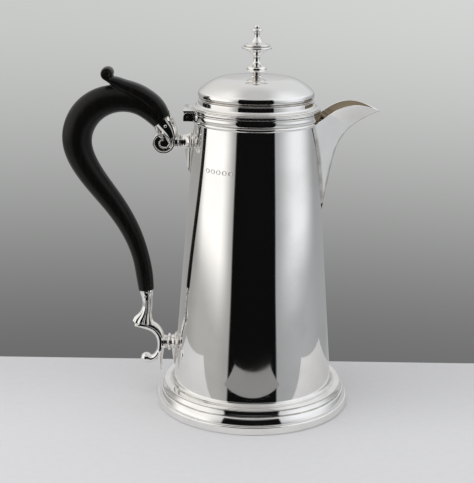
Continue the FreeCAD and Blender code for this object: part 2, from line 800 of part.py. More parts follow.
def make_lower_ferrule():
    start, direction = ferrule_axis()
    side = (-direction[1], direction[0])
    rim = FERRULE_RIM_RADIUS
    waist = FERRULE_WAIST_RADIUS
    flare = FERRULE_FLARE_RADIUS
    length = FERRULE_LENGTH

    def on(share, radius):
        return along(along(start, direction, length * share), side, radius)

    bell = turned(outline(
        on(0, 0),
        on(0, rim),
        (on(0.06, rim * 1.05), on(0.12, rim * 0.9)),
        (on(0.42, waist), on(0.7, waist * 1.1)),
        (on(0.85, flare * 0.8), on(1, flare)),
        on(1, 0),
    ), start, direction)
    bell = bell.cut(lower_tenon(TENON_GAP)).cut(make_lower_handle_pin())
    return single(bell.cut(solid_scroll()))


# Handle


def handle_frame():
    """Lower end, unit directions along and out from the chord, and the stretch of the curve."""
    low = ferrule_axis()[0]
    high = socket_axis()[0]
    span = math.dist(low, high)
    chord = ((high[0] - low[0]) / span, (high[1] - low[1]) / span)
    outward = (-chord[1], chord[0])
    return low, chord, outward, span / HANDLE_CURVE[-1][0]


def on_handle(rise, reach):
    """Point of the XZ plane from the handle's rise and reach."""
    low, chord, outward, stretch = handle_frame()
    return along(along(low, chord, rise * stretch), outward, reach)


def handle_sections():
    """Oval sections square to the handle's curve, from the lower end to the upper."""
    down = ferrule_axis()[1]
    into = socket_axis()[1]
    centres = [at(on_handle(rise, reach)) for rise, reach, _ in HANDLE_CURVE]
    curve = Part.BSplineCurve()
    curve.interpolate(centres, InitialTangent=at((-down[0], -down[1])), FinalTangent=at(into))
    sections = []
    for centre, (_, _, thickness) in zip(centres, HANDLE_CURVE):
        tangent = curve.tangent(curve.parameter(centre))[0]
        normal = tangent.cross(Vector(0, 1, 0))
        major = centre + normal * (thickness / 2)
        minor = centre + Vector(0, thickness / 2 * HANDLE_FLATTENING, 0)
        sections.append(Part.Wire(Part.Ellipse(major, minor, centre).toShape()))
    return sections


def make_handle_grip():
    wood = Part.makeLoft(handle_sections(), True, False)
    curl = on_handle(CURL_RISE, CURL_REACH)
    end = on_handle(HANDLE_CURVE[-3][0], HANDLE_CURVE[-3][1])
    foot = (curl[0] + TONGUE_LENGTH, curl[1] - CURL_RADIUS * 1.2)
    tongue = across(outline(
        (curl[0] - CURL_RADIUS * 0.6, curl[1]),
        (curl[0] - CURL_RADIUS * 0.3, end[1]),
        (foot[0], end[1]),
        foot,
        ((curl[0] + CURL_RADIUS * 1.3, curl[1] - CURL_RADIUS * 0.6), (curl[0] + CURL_RADIUS * 0.85, curl[1])),
    ), TONGUE_WIDTH)
    wood = wood.fuse(tongue).fuse(cross_rod(curl, CURL_RADIUS, CURL_WIDTH))
    wood = wood.fuse(upper_tenon(0)).fuse(lower_tenon(0)).removeSplitter()
    return single(wood.cut(make_upper_handle_pin()).cut(make_lower_handle_pin()))


MAKERS = {
    "foot_band": make_foot_band,
    "foot_moulding": make_foot_moulding,
    "base_plate": make_base_plate,
    "body_shell": make_body_shell,
    "mouth_moulding": make_mouth_moulding,
    "spout": make_spout,
    "hinge_body_leaf": make_hinge_body_leaf,
    "hinge_pin": make_hinge_pin,
    "upper_backplate": make_upper_backplate,
    "upper_neck": make_upper_neck,
    "upper_socket": make_upper_socket,
    "upper_handle_pin": make_upper_handle_pin,
    "handle_grip": make_handle_grip,
    "lower_handle_pin": make_lower_handle_pin,
    "lower_ferrule": make_lower_ferrule,
    "lower_scroll": solid_scroll,
    "lower_neck": make_lower_neck,
    "lower_backplate": make_lower_backplate,
    "lid_flange": make_lid_flange,
    "lid_bezel": make_lid_bezel,
    "lid_dome": make_lid_dome,
    "hinge_lid_leaf": make_hinge_lid_leaf,
    "finial": make_finial,
    "finial_nut": make_finial_nut,
}


def main():
    os.makedirs("parts", exist_ok=True)
    for name, maker in MAKERS.items():
        shape = maker()
        print(name, len(shape.Solids), shape.isValid(), round(shape.Volume, 1))
        shape.exportStep(f"parts/{name}.step")


if __name__ == "__main__":
    main()
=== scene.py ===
"""Looks of a silver coffee pot: turned silver, a beak spout, a hinged domed lid and a black wooden handle.

Sizes are millimetres in the pot's own frame: Z up its axis, X towards the spout. Meshes are built in metres.
"""

from __future__ import annotations

import logging
import math
from collections.abc import Sequence
from dataclasses import dataclass, field
from enum import Enum

import bmesh
import bpy
import numpy as np
from mathutils import Matrix, Vector

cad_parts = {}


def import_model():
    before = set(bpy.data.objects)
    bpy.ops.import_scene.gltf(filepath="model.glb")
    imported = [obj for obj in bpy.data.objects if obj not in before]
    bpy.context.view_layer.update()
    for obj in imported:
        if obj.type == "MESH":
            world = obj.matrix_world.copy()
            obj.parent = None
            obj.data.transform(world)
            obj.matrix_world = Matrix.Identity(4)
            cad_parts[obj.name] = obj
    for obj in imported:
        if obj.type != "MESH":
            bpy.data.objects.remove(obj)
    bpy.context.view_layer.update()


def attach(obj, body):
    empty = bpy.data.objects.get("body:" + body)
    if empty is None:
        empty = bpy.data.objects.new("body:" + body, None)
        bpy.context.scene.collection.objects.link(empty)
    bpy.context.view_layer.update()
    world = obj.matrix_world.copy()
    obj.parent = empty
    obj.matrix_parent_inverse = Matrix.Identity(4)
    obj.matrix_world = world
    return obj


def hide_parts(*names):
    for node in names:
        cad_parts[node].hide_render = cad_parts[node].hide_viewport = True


LOG = logging.getLogger("coffee_pot")
MM = 0.001
DEGREES_PER_RADIAN = 180 / math.pi
GROOVE = "groove"
FACING = "facing"
LOWER_JOINT = (-65.25, 69.2)
UPPER_JOINT = (-54.97, 173.9)
SIDEWAYS = (0, 1, 0)
SOCKET_HALF = 5.9
PIN_HEAD = 0.15
Colour = tuple[float, float, float]
Point = tuple[float, float]
Place = tuple[float, float, float]
Station = tuple[float, float, float, float]
Area = tuple[float, float, float, float]
Profile = tuple[object, ...]


class Body(Enum):
    """Rigid bodies of the pot."""

    POT = "pot"
    LID = "lid"


class Slot(Enum):
    """Material slots of the record."""

    SILVER = "silver"
    INSIDE = "silver_inside"
    WOOD = "handle_wood"


# Node trees


class Tree:
    """Short hand for building a node tree."""

    def __init__(self, tree: bpy.types.NodeTree) -> None:
        """Keeps the tree that the nodes go into."""
        self.tree = tree

    def node(self, kind: str, **settings: object) -> bpy.types.Node:
        """Adds a node.

        Args:
            kind: Blender's name of the node type.
            settings: properties of the node.

        Returns:
            The new node.
        """
        node = self.tree.nodes.new(kind)
        for name, value in settings.items():
            setattr(node, name, value)
        return node

    def feed(self, target: bpy.types.NodeSocket, source: object) -> None:
        """Links a socket to an input, or sets the input to a constant.

        Args:
            target: input socket.
            source: output socket or plain value.
        """
        if isinstance(source, bpy.types.NodeSocket):
            self.tree.links.new(source, target)
        else:
            target.default_value = source

    def fed(self, kind: str, sources: dict[str | int, object], **settings: object) -> bpy.types.Node:
        """Adds a node and feeds its inputs.

        Args:
            kind: Blender's name of the node type.
            sources: values or sockets by the name or number of the input.
            settings: properties of the node.

        Returns:
            The new node.
        """
        node = self.node(kind, **settings)
        for name, source in sources.items():
            self.feed(node.inputs[name], source)
        return node

    def math(
        self, operation: str, first: object, second: object = 0.0, third: object = 0.0
    ) -> bpy.types.NodeSocket:
        """Adds a math node.

        Args:
            operation: name of the operation.
            first: first value or socket.
            second: second value or socket.
            third: third value or socket.

        Returns:
            The node's output.
        """
        return self.fed("ShaderNodeMath", {0: first, 1: second, 2: third}, operation=operation).outputs[0]

    def fade(
        self, value: object, low: float, high: float, start: float = 0.0, end: float = 1.0
    ) -> bpy.types.NodeSocket:
        """Smooth step of a value.

        Args:
            value: socket that is mapped.
            low: value where the step starts.
            high: value where the step ends.
            start: result below low.
            end: result above high.

        Returns:
            The stepped value.
        """
        sources = {"Value": value, "From Min": low, "From Max": high, "To Min": start, "To Max": end}
        return self.fed("ShaderNodeMapRange", sources, interpolation_type="SMOOTHSTEP").outputs["Result"]

    def toward(self, mask: object, start: object, end: object) -> bpy.types.NodeSocket:
        """Value that leaves its start for an end where a mask is 1."""
        return self.math("ADD", start, self.math("MULTIPLY", mask, self.math("SUBTRACT", end, start)))

    def mix(self, share: object, first: object, second: object) -> bpy.types.NodeSocket:
        """Mix of two colours.

        Args:
            share: share of the second colour.
            first: colour or socket.
            second: colour or socket.

        Returns:
            The mixed colour.
        """
        node = self.node("ShaderNodeMix", data_type="RGBA")
        self.feed(node.inputs["Factor"], share)
        colours = [socket for socket in node.inputs if socket.type == "RGBA"]
        self.feed(colours[0], first)
        self.feed(colours[1], second)
        return next(socket for socket in node.outputs if socket.type == "RGBA")

    def noise(self, vector: object, scale: float, detail: float = 3.0) -> bpy.types.NodeSocket:
        """Noise texture value.

        Args:
            vector: coordinates.
            scale: cells per metre.
            detail: octaves.

        Returns:
            The noise between 0 and 1.
        """
        sources = {"Vector": vector, "Scale": scale, "Detail": detail}
        return self.fed("ShaderNodeTexNoise", sources).outputs["Fac"]

    def stretched(
        self, vector: object, scale: Sequence[float], turn: Sequence[float] = (0, 0, 0)
    ) -> bpy.types.NodeSocket:
        """Coordinates scaled and turned.

        Args:
            vector: coordinates.
            scale: scale along X, Y and Z.
            turn: turn about X, Y and Z in radians.

        Returns:
            The mapped coordinates.
        """
        sources = {"Vector": vector, "Scale": scale, "Rotation": turn}
        return self.fed("ShaderNodeMapping", sources).outputs["Vector"]

    def realized(self, geometry: bpy.types.NodeSocket, finish: bpy.types.NodeSocket) -> bpy.types.NodeSocket:
        """Makes instances real and gives them their finish."""
        real = self.fed("GeometryNodeRealizeInstances", {"Geometry": geometry}).outputs["Geometry"]
        return self.fed("GeometryNodeSetMaterial", {"Geometry": real, "Material": finish}).outputs["Geometry"]


def node_group(
    kind: str, name: str, inputs: dict[str, str], outputs: dict[str, str]
) -> tuple[Tree, object, object, dict[str, str]]:
    """Starts a node group.

    Args:
        kind: Blender's name of the kind of tree.
        name: name of the group.
        inputs: input names and kinds of socket.
        outputs: output names and kinds of socket.

    Returns:
        The tree, its input node's sockets, its output node's sockets and the identifiers of its inputs.
    """
    group = bpy.data.node_groups.new(name, kind)
    sockets = group.interface
    keys = {}
    for label, form in inputs.items():
        keys[label] = sockets.new_socket(label, in_out="INPUT", socket_type=f"NodeSocket{form}").identifier
    for label, form in outputs.items():
        sockets.new_socket(label, in_out="OUTPUT", socket_type=f"NodeSocket{form}")
    tree = Tree(group)
    return tree, tree.node("NodeGroupInput").outputs, tree.node("NodeGroupOutput").inputs, keys


# Stretch and turn of the three sets of polishing lines
RUBBED_WAYS = (
    ((3000, 3000, 60), (0.3, 0.1, 0)),
    ((60, 2600, 2600), (0, 0.2, 0.5)),
    ((2800, 50, 2400), (0.6, 0, 0.2)),
)
HAIRLINE_EDGE = (0.66, 0.74)
SMEAR_SCALE = 38.0
SMEAR_EDGE = (0.42, 0.72)
WAVE_SCALE = 30.0
WAVE_STRETCH = (1, 1, 0.6)
TARNISH_SCALE = 160.0
TARNISH_EDGE = (0.25, 0.7)
TARNISH_LEVELS = (0.55, 1.0)


def polish_marks_group() -> bpy.types.NodeTree:
    """Fine hairlines from polishing and soft smears from handling.

    Returns:
        Group with a hairline mask, a smear mask and the height of hand-worked waves.
    """
    tree, inputs, outputs, _ = node_group(
        "ShaderNodeTree", "polish_marks", {"Vector": "Vector", "Hairlines": "Float"},
        {"Hairline": "Float", "Smear": "Float", "Wave": "Float"},
    )
    where = inputs["Vector"]
    lines: object = 0.0
    for scale, turn in RUBBED_WAYS:
        threads = tree.noise(tree.stretched(where, scale, turn), 1.0, 1.0)
        lines = tree.math("MAXIMUM", lines, tree.fade(threads, *HAIRLINE_EDGE))
    tree.feed(outputs["Hairline"], tree.math("MULTIPLY", lines, inputs["Hairlines"]))
    tree.feed(outputs["Smear"], tree.fade(tree.noise(where, SMEAR_SCALE, 4.0), *SMEAR_EDGE))
    tree.feed(outputs["Wave"], tree.noise(tree.stretched(where, WAVE_STRETCH), WAVE_SCALE, 0.0))
    return tree.tree


def tarnish_group() -> bpy.types.NodeTree:
    """Tarnish that stays in the grooves that a cloth doesn't reach; on the spout the same mask also carries a
    painted dark outline.

    Returns:
        Group with the tarnish mask.
    """
    tree, inputs, outputs, _ = node_group(
        "ShaderNodeTree", "groove_tarnish", {"Vector": "Vector", "Depth": "Float"}, {"Mask": "Float"}
    )
    groove = tree.node("ShaderNodeAttribute", attribute_name=GROOVE).outputs["Fac"]
    patchy = tree.fade(tree.noise(inputs["Vector"], TARNISH_SCALE), *TARNISH_EDGE, *TARNISH_LEVELS)
    kept = tree.math("MULTIPLY", groove, patchy)
    tree.feed(outputs["Mask"], tree.math("MULTIPLY", kept, inputs["Depth"]))
    return tree.tree


@dataclass
class Workshop:
    """Shared node groups and trees, made once."""

    polish: bpy.types.NodeTree = field(default_factory=polish_marks_group)
    tarnish: bpy.types.NodeTree = field(default_factory=tarnish_group)

    def material(self, name: str) -> tuple[bpy.types.Material, Tree, bpy.types.Node, bpy.types.NodeSocket]:
        """Starts a material.

        Args:
            name: name of the material.

        Returns:
            The material, its tree, its Principled node and the object coordinates.
        """
        material = bpy.data.materials.new(name)
        material.use_nodes = True
        tree = Tree(material.node_tree)
        shader = next(node for node in material.node_tree.nodes if node.type == "BSDF_PRINCIPLED")
        coordinates = tree.node("ShaderNodeTexCoord").outputs["Object"]
        return material, tree, shader, coordinates

    def placed(self, tree: Tree, group: bpy.types.NodeTree, **values: object) -> object:
        """Places a shared group in a material and gives its outputs."""
        return tree.fed("ShaderNodeGroup", values, node_tree=group).outputs


@dataclass(frozen=True)
class Silver:
    """Polished silver, or tarnished silver; the insides' finish is darkened further as painted shade."""

    name: str
    bright: Colour
    dull: Colour
    smooth: float
    worn: float
    hairlines: float
    tarnish: float
    wave: float
    clouded: float = 0.12
    smeared: float = 0.35
    stained: float = 0.2
    line_bump: float = 0.25
    line_depth: float = 0.000004

    def material(self, workshop: Workshop) -> bpy.types.Material:
        """Builds the finish.

        Args:
            workshop: holder of the shared groups.

        Returns:
            The material.
        """
        material, tree, shader, where = workshop.material(self.name)
        marks = workshop.placed(tree, workshop.polish, Vector=where, Hairlines=self.hairlines)
        stain = workshop.placed(tree, workshop.tarnish, Vector=where, Depth=self.tarnish)["Mask"]
        share = tree.math("MAXIMUM", stain, tree.math("MULTIPLY", marks["Smear"], self.clouded))
        tree.feed(shader.inputs["Base Color"], tree.mix(share, (*self.bright, 1), (*self.dull, 1)))
        used = tree.math("MAXIMUM", tree.math("MULTIPLY", marks["Smear"], self.smeared), marks["Hairline"])
        rough = tree.math("MULTIPLY_ADD", used, self.worn - self.smooth, self.smooth)
        tree.feed(shader.inputs["Roughness"], tree.math("MULTIPLY_ADD", stain, self.stained, rough))
        shader.inputs["Metallic"].default_value = 1.0
        waves = tree.fed("ShaderNodeBump", {"Distance": self.wave, "Height": marks["Wave"]}).outputs["Normal"]
        sources = {"Strength": self.line_bump, "Distance": self.line_depth, "Normal": waves}
        lines = tree.fed("ShaderNodeBump", {**sources, "Height": marks["Hairline"]}, invert=True)
        tree.feed(shader.inputs["Normal"], lines.outputs["Normal"])
        return material


@dataclass(frozen=True)
class EbonisedWood:
    """Hardwood stained black and waxed, with a little brown where hands have worn it."""

    name: str = "ebonised_wood"
    black: Colour = (0.0035, 0.0033, 0.0031)
    brown: Colour = (0.016, 0.012, 0.009)
    grain: Place = (700, 700, 45)
    pores: Place = (2600, 2600, 170)
    lean: Place = (0, -0.35, 0)
    pore_edge: Point = (0.6, 0.72)
    streak_edge: Point = (0.45, 0.7)
    wear_scale: float = 42.0
    wear_edge: Point = (0.48, 0.75)
    streak_worn: float = 0.6
    streak_least: float = 0.25
    rough: float = 0.31
    rubbed: float = -0.06
    porous: float = 0.2
    gloss: float = 0.24
    bump: float = 0.35
    grain_height: float = 0.4
    pore_depth: float = 0.00003

    def material(self, workshop: Workshop) -> bpy.types.Material:
        """Builds the finish.

        Args:
            workshop: holder of the shared groups.

        Returns:
            The material.
        """
        material, tree, shader, where = workshop.material(self.name)
        grain = tree.noise(tree.stretched(where, self.grain, self.lean), 1.0, 4.0)
        pits = tree.noise(tree.stretched(where, self.pores, self.lean), 1.0, 2.0)
        pores = tree.fade(pits, *self.pore_edge)
        wear = tree.fade(tree.noise(where, self.wear_scale, 3.0), *self.wear_edge)
        shown = tree.math("MULTIPLY_ADD", wear, self.streak_worn, self.streak_least)
        streak = tree.math("MULTIPLY", tree.fade(grain, *self.streak_edge), shown)
        tree.feed(shader.inputs["Base Color"], tree.mix(streak, (*self.black, 1), (*self.brown, 1)))
        rough = tree.math("MULTIPLY_ADD", wear, self.rubbed, self.rough)
        tree.feed(shader.inputs["Roughness"], tree.math("MULTIPLY_ADD", pores, self.porous, rough))
        shader.inputs["Specular IOR Level"].default_value = self.gloss
        relief = tree.math("MAXIMUM", pores, tree.math("MULTIPLY", grain, self.grain_height))
        sources = {"Strength": self.bump, "Distance": self.pore_depth, "Height": relief}
        tree.feed(shader.inputs["Normal"], tree.fed("ShaderNodeBump", sources, invert=True).outputs["Normal"])
        return material


BRIGHT = (0.93, 0.92, 0.9)
# Tarnish colour; on the spout it is also the colour of a painted dark outline.
DULL = (0.3, 0.27, 0.23)
POLISHED = Silver(
    "polished_silver", BRIGHT, DULL, smooth=0.035, worn=0.17, hairlines=0.5, tarnish=0.75, wave=0.00001
)
RAISED = Silver(
    "raised_silver", BRIGHT, DULL, smooth=0.03, worn=0.15, hairlines=0.5, tarnish=0.75, wave=0.00022
)
# Tarnished silver of the insides, darkened further as painted shade inside the pot, the spout and under the
# lid.
TARNISH_AND_SHADE = Silver(
    "tarnished_shaded_silver", (0.22, 0.18, 0.13), (0.2, 0.14, 0.08),
    smooth=0.2, worn=0.36, hairlines=0.7, tarnish=0.8, wave=0.0001,
)
RECESS = Silver(
    "recessed_silver", (0.2, 0.18, 0.16), (0.03, 0.026, 0.022),
    smooth=0.22, worn=0.4, hairlines=0.4, tarnish=0.9, wave=0.00005,
)


# Profiles and curves


def arc(start: Point, middle: Point, end: Point, pitch: float) -> np.ndarray:
    """Points on the arc through three points, without its start.

    Args:
        start: first point.
        middle: point on the way.
        end: last point.
        pitch: greatest distance between points.

    Returns:
        Points as rows.
    """
    a, m, b = (complex(*point) for point in (start, middle, end))
    w = (b - a) / (m - a)
    if abs(w.imag) < 1e-9:
        return np.linspace(start, end, max(2, math.ceil(abs(b - a) / pitch) + 1))[1:]
    centre = a + (m - a) * (w - abs(w) ** 2) / (2j * w.imag)
    radius = abs(a - centre)
    turn = np.angle((b - a) / (m - a))
    sweep = np.angle((b - centre) / (a - centre))
    if sweep * turn < 0:
        sweep += math.copysign(2 * math.pi, turn)
    count = max(3, math.ceil(radius * abs(sweep) / pitch))
    angles = np.angle(a - centre) + sweep * np.arange(1, count + 1) / count
    return np.stack([centre.real + radius * np.cos(angles), centre.imag + radius * np.sin(angles)], 1)


def trace(pitch: float, start: Point, *steps: object, soft: int = 2) -> np.ndarray:
    """Points of a profile with slightly rounded corners.

    Args:
        pitch: greatest distance between points.
        start: first point.
        steps: end points, or (middle, end) pairs for arcs.
        soft: passes of corner rounding.

    Returns:
        Points as rows.
    """
    rows = [np.array([start], float)]
    here = start
    for step in steps:
        if isinstance(step[0], tuple):
            middle, end = step
            rows.append(arc(here, middle, end, pitch))
        else:
            end = step
            count = max(1, math.ceil(math.dist(here, end) / pitch))
            rows.append(np.linspace(here, end, count + 1)[1:])
        here = end
    points = np.concatenate(rows)
    for _ in range(soft):
        points[1:-1] = (points[:-2] + 2 * points[1:-1] + points[2:]) / 4
    return points


def hollowness(points: np.ndarray, reach: int = 3) -> np.ndarray:
    """How far each point of a profile lies in a groove.

    Args:
        points: profile that runs round its solid with the solid on its left.
        reach: points on each side that are looked at.

    Returns:
        Values between 0 and 1.
    """
    before = points - np.roll(points, reach, axis=0)
    after = np.roll(points, -reach, axis=0) - points
    turn = np.arctan2(before[:, 0] * after[:, 1] - before[:, 1] * after[:, 0], (before * after).sum(1))
    turn[:reach] = 0
    turn[-reach:] = 0
    deep = np.clip(-turn, 0, 1)
    kernel = np.array([0.15, 0.7, 1.0, 0.7, 0.15])
    return np.clip(np.convolve(deep, kernel / 1.6, "same"), 0, 1)


def smooth_through(stations: np.ndarray, count: int) -> np.ndarray:
    """Natural cubic curve through stations.

    Args:
        stations: rows whose first two values are a place.
        count: rows of the result.

    Returns:
        Evenly spaced rows of the curve.
    """
    lengths = np.linalg.norm(np.diff(stations[:, :2], axis=0), axis=1)
    knots = np.concatenate(([0.0], np.cumsum(lengths)))
    size = len(knots)
    matrix = np.eye(size)
    right = np.zeros_like(stations)
    slopes = np.diff(stations, axis=0) / lengths[:, None]
    for index in range(1, size - 1):
        matrix[index, index - 1] = lengths[index - 1]
        matrix[index, index] = 2 * (lengths[index - 1] + lengths[index])
        matrix[index, index + 1] = lengths[index]
        right[index] = 6 * (slopes[index] - slopes[index - 1])
    bends = np.linalg.solve(matrix, right)
    places = np.linspace(0, knots[-1], count)
    span = np.clip(np.searchsorted(knots, places, side="right") - 1, 0, size - 2)
    width = lengths[span][:, None]
    second = ((places - knots[span]) / lengths[span])[:, None]
    first = 1 - second
    curve = first * stations[span] + second * stations[span + 1]
    bend = (first**3 - first) * bends[span] + (second**3 - second) * bends[span + 1]
    return curve + bend * width**2 / 6


# Meshes


@dataclass
class Skin:
    """Points and faces of a mesh in the making."""

    points: list[Place] = field(default_factory=list)
    faces: list[tuple[int, ...]] = field(default_factory=list)
    inside: list[int] = field(default_factory=list)

    def grid(self, rows: np.ndarray, closed: bool, inside: int = 0) -> np.ndarray:
        """Adds a grid of points and its faces.

        Args:
            rows: points, as rows by columns by 3.
            closed: whether each row closes on itself.
            inside: material index of the faces.

        Returns:
            Indices of the points.
        """
        start = len(self.points)
        count, width = rows.shape[:2]
        self.points.extend(map(tuple, rows.reshape(-1, 3)))
        index = start + np.arange(count * width).reshape(count, width)
        for row in range(count - 1):
            self.strip(index[row], index[row + 1], closed, inside)
        return index

    def strip(self, low: Sequence[int], high: Sequence[int], closed: bool, inside: int = 0) -> None:
        """Adds the faces between two rows of points.

        Args:
            low: indices of the first row.
            high: indices of the second row.
            closed: whether the rows close on themselves.
            inside: material index of the faces.
        """
        width = len(low)
        for column in range(width if closed else width - 1):
            after = (column + 1) % width
            self.faces.append((int(low[column]), int(low[after]), int(high[after]), int(high[column])))
            self.inside.append(inside)

    def fan(self, ring: Sequence[int]) -> None:
        """Closes a ring of points with one point in its middle.

        Args:
            ring: indices of the ring.
        """
        centre = np.mean([self.points[index] for index in ring], axis=0)
        middle = len(self.points)
        self.points.append(tuple(centre))
        for column in range(len(ring)):
            self.faces.append((int(ring[column]), int(ring[(column + 1) % len(ring)]), middle))
            self.inside.append(0)

    def mesh(self, name: str) -> bpy.types.Mesh:
        """Makes the mesh, in metres.

        Args:
            name: name of the mesh.

        Returns:
            The mesh.
        """
        mesh = bpy.data.meshes.new(name)
        mesh.from_pydata([tuple(value * MM for value in point) for point in self.points], [], self.faces)
        mesh.polygons.foreach_set("material_index", self.inside)
        return mesh


def swept(
    skin: Skin, stations: Sequence[Station], rings: int = 120, sides: int = 48, square: float = 2.0,
    flutes: int = 0, flute_depth: float = 0.0, round_ends: bool = False,
) -> None:
    """Adds a bar that follows a curve in the plane of the handle.

    Args:
        skin: mesh in the making.
        stations: places x and z, half thickness in the plane and half width across it.
        rings: sections along the curve.
        sides: points round a section.
        square: 2 for an oval section, more for a squarer one.
        flutes: number of flutes round the far end.
        flute_depth: depth of the flutes as a share of the radius.
        round_ends: whether the ends are domed.
    """
    path = smooth_through(np.array(stations, float), rings)
    ahead = np.gradient(path[:, :2], axis=0)
    ahead /= np.linalg.norm(ahead, axis=1)[:, None]
    if round_ends:
        swell = np.linspace(0, math.pi / 2, 9)[1:-1]
        tips = []
        for row, way, order in ((0, -1, -1), (-1, 1, 1)):
            caps = np.repeat(path[row][None], len(swell), 0)
            caps[:, :2] += way * ahead[row] * (np.sin(swell) * path[row, 2])[:, None]
            caps[:, 2:] *= np.cos(swell)[:, None]
            tips.append((caps[::order], np.repeat(ahead[row][None], len(swell), 0)))
        path = np.concatenate((tips[0][0], path, tips[1][0]))
        ahead = np.concatenate((tips[0][1], ahead, tips[1][1]))
    angle = np.linspace(0, 2 * math.pi, sides, endpoint=False)
    power = 2 / square
    out = np.sign(np.cos(angle)) * np.abs(np.cos(angle)) ** power
    side = np.sign(np.sin(angle)) * np.abs(np.sin(angle)) ** power
    share = np.linspace(0, 1, len(path))[:, None]
    ripple = 1 + flute_depth * share * (np.abs(np.cos(angle * flutes / 2)) - 0.5)[None]
    rows = np.zeros((len(path), sides, 3))
    rows[..., 0] = path[:, :1] - ahead[:, 1:] * path[:, 2:3] * out * ripple
    rows[..., 1] = path[:, 3:] * side * ripple
    rows[..., 2] = path[:, 1:2] + ahead[:, :1] * path[:, 2:3] * out * ripple
    index = skin.grid(rows, True)
    skin.fan(index[0])
    skin.fan(index[-1])


def spiral(
    centre: Point, start: float, turns: float, radii: Point, halves: Point, across: float
) -> list[Station]:
    """Stations of a scroll that rolls in clockwise, seen from the front.

    Args:
        centre: middle of the scroll.
        start: angle of the first station in degrees, from +X towards +Z.
        turns: number of turns.
        radii: first and last distance from the middle.
        halves: first and last half thickness.
        across: half width.

    Returns:
        The stations.
    """
    stations = []
    count = max(4, round(turns * 8))
    for index in range(count + 1):
        share = index / count
        angle = math.radians(start - 360 * turns * share)
        radius = radii[0] + (radii[1] - radii[0]) * share
        half = halves[0] + (halves[1] - halves[0]) * share
        x, z = (centre[0] + radius * math.cos(angle), centre[1] + radius * math.sin(angle))
        stations.append((x, z, half, across))
    return stations


def new_object(name: str, mesh: bpy.types.Mesh) -> bpy.types.Object:
    """Links a mesh to the scene as an object at the origin.

    Args:
        name: name of the object.
        mesh: its mesh.

    Returns:
        The object.
    """
    piece = bpy.data.objects.new(name, mesh)
    bpy.context.scene.collection.objects.link(piece)
    return piece


def settled(piece: bpy.types.Object) -> None:
    """Turns an object's live modifiers into a plain mesh.

    Args:
        piece: the object.
    """
    graph = bpy.context.evaluated_depsgraph_get()
    mesh = bpy.data.meshes.new_from_object(piece.evaluated_get(graph), depsgraph=graph)
    piece.modifiers.clear()
    piece.data = mesh


def cut(piece: bpy.types.Object, cutter: bpy.types.Object) -> None:
    """Cuts one object out of another and removes the cutter.

    Args:
        piece: object that is cut.
        cutter: object that cuts.
    """
    modifier = piece.modifiers.new("cut", "BOOLEAN")
    modifier.object = cutter
    modifier.operation = "DIFFERENCE"
    modifier.solver = "EXACT"
    settled(piece)
    bpy.data.objects.remove(cutter)


def smoothed(piece: bpy.types.Object, sharp: float = 35.0, place: Matrix | None = None) -> None:
    """Closes a mesh, turns its faces outwards and shades it smooth between its sharp edges.

    Args:
        piece: the object.
        sharp: angle in degrees above which an edge stays sharp.
        place: where a piece that was made at the origin goes.
    """
    work = bmesh.new()
    work.from_mesh(piece.data)
    if place is not None:
        work.transform(place)
    bmesh.ops.remove_doubles(work, verts=work.verts, dist=1e-7)
    bmesh.ops.dissolve_degenerate(work, edges=work.edges, dist=1e-8)
    bmesh.ops.recalc_face_normals(work, faces=work.faces)
    limit = math.radians(sharp)
    for face in work.faces:
        face.smooth = True
    for edge in work.edges:
        edge.smooth = len(edge.link_faces) != 2 or edge.calc_face_angle(0.0) < limit
    work.to_mesh(piece.data)
    work.free()


def facing(origin: Place, direction: Place) -> Matrix:
    """Placement that turns +Z to a direction and moves the origin, in metres.

    Args:
        origin: place in millimetres.
        direction: where +Z goes.

    Returns:
        The placement.
    """
    turn = Vector((0, 0, 1)).rotation_difference(Vector(direction)).to_matrix().to_4x4()
    return Matrix.Translation(Vector(origin) * MM) @ turn


def softened(piece: bpy.types.Object, width: float) -> None:
    """Rounds the sharp edges of an object.

    Args:
        piece: the object.
        width: width of the rounding in millimetres.
    """
    modifier = piece.modifiers.new("softened", "BEVEL")
    modifier.width = width * MM
    modifier.segments = 3
    modifier.limit_method = "ANGLE"
    settled(piece)
    smoothed(piece, 50.0)


def slab(name: str, first: Sequence[Place], last: Sequence[Place], bevel: float) -> bpy.types.Object:
    """Closed bar between two equal outlines.

    Args:
        name: name of the object.
        first: outline of one end.
        last: outline of the other end.
        bevel: width of the softened edges, or 0 for sharp ones.

    Returns:
        The bar.
    """
    skin = Skin()
    ends = skin.grid(np.array([first, last]), True)
    skin.faces += [tuple(int(index) for index in end) for end in (ends[0][::-1], ends[1])]
    skin.inside += [0, 0]
    piece = new_object(name, skin.mesh(name))
    smoothed(piece)
    if bevel:
        softened(piece, bevel)
    return piece


def joined(
    name: str, parts: Sequence[bpy.types.Object], *finishes: bpy.types.Material
) -> bpy.types.Object:
    """Joins objects into one piece, in which every face keeps its material index.

    Args:
        name: name of the piece.
        parts: its parts, which are removed.
        finishes: materials by index.

    Returns:
        The piece.
    """
    work = bmesh.new()
    for part in parts:
        work.from_mesh(part.data)
        bpy.data.objects.remove(part)
    mesh = bpy.data.meshes.new(name)
    work.to_mesh(mesh)
    work.free()
    mesh.materials.clear()
    for finish in finishes:
        mesh.materials.append(finish)
    return new_object(name, mesh)


def grooved(mesh: bpy.types.Mesh, values: np.ndarray) -> None:
    """Stores how deep each point of a mesh lies in a groove."""
    mesh.attributes.new(GROOVE, "FLOAT", "POINT").data.foreach_set("value", values.astype(np.float32))


def formed(
    name: str, mesh: bpy.types.Mesh, group: bpy.types.NodeTree, values: dict[str, object]
) -> bpy.types.Object:
    """Runs a Geometry Nodes tree on a mesh and keeps the result as a plain mesh.

    Args:
        name: name of the piece.
        mesh: mesh that the tree starts from.
        group: the tree.
        values: its inputs by identifier.

    Returns:
        The piece.
    """
    piece = new_object(name, mesh)
    modifier = piece.modifiers.new("formed", "NODES")
    modifier.node_group = group
    for key, value in values.items():
        modifier[key] = value
    settled(piece)
    return piece


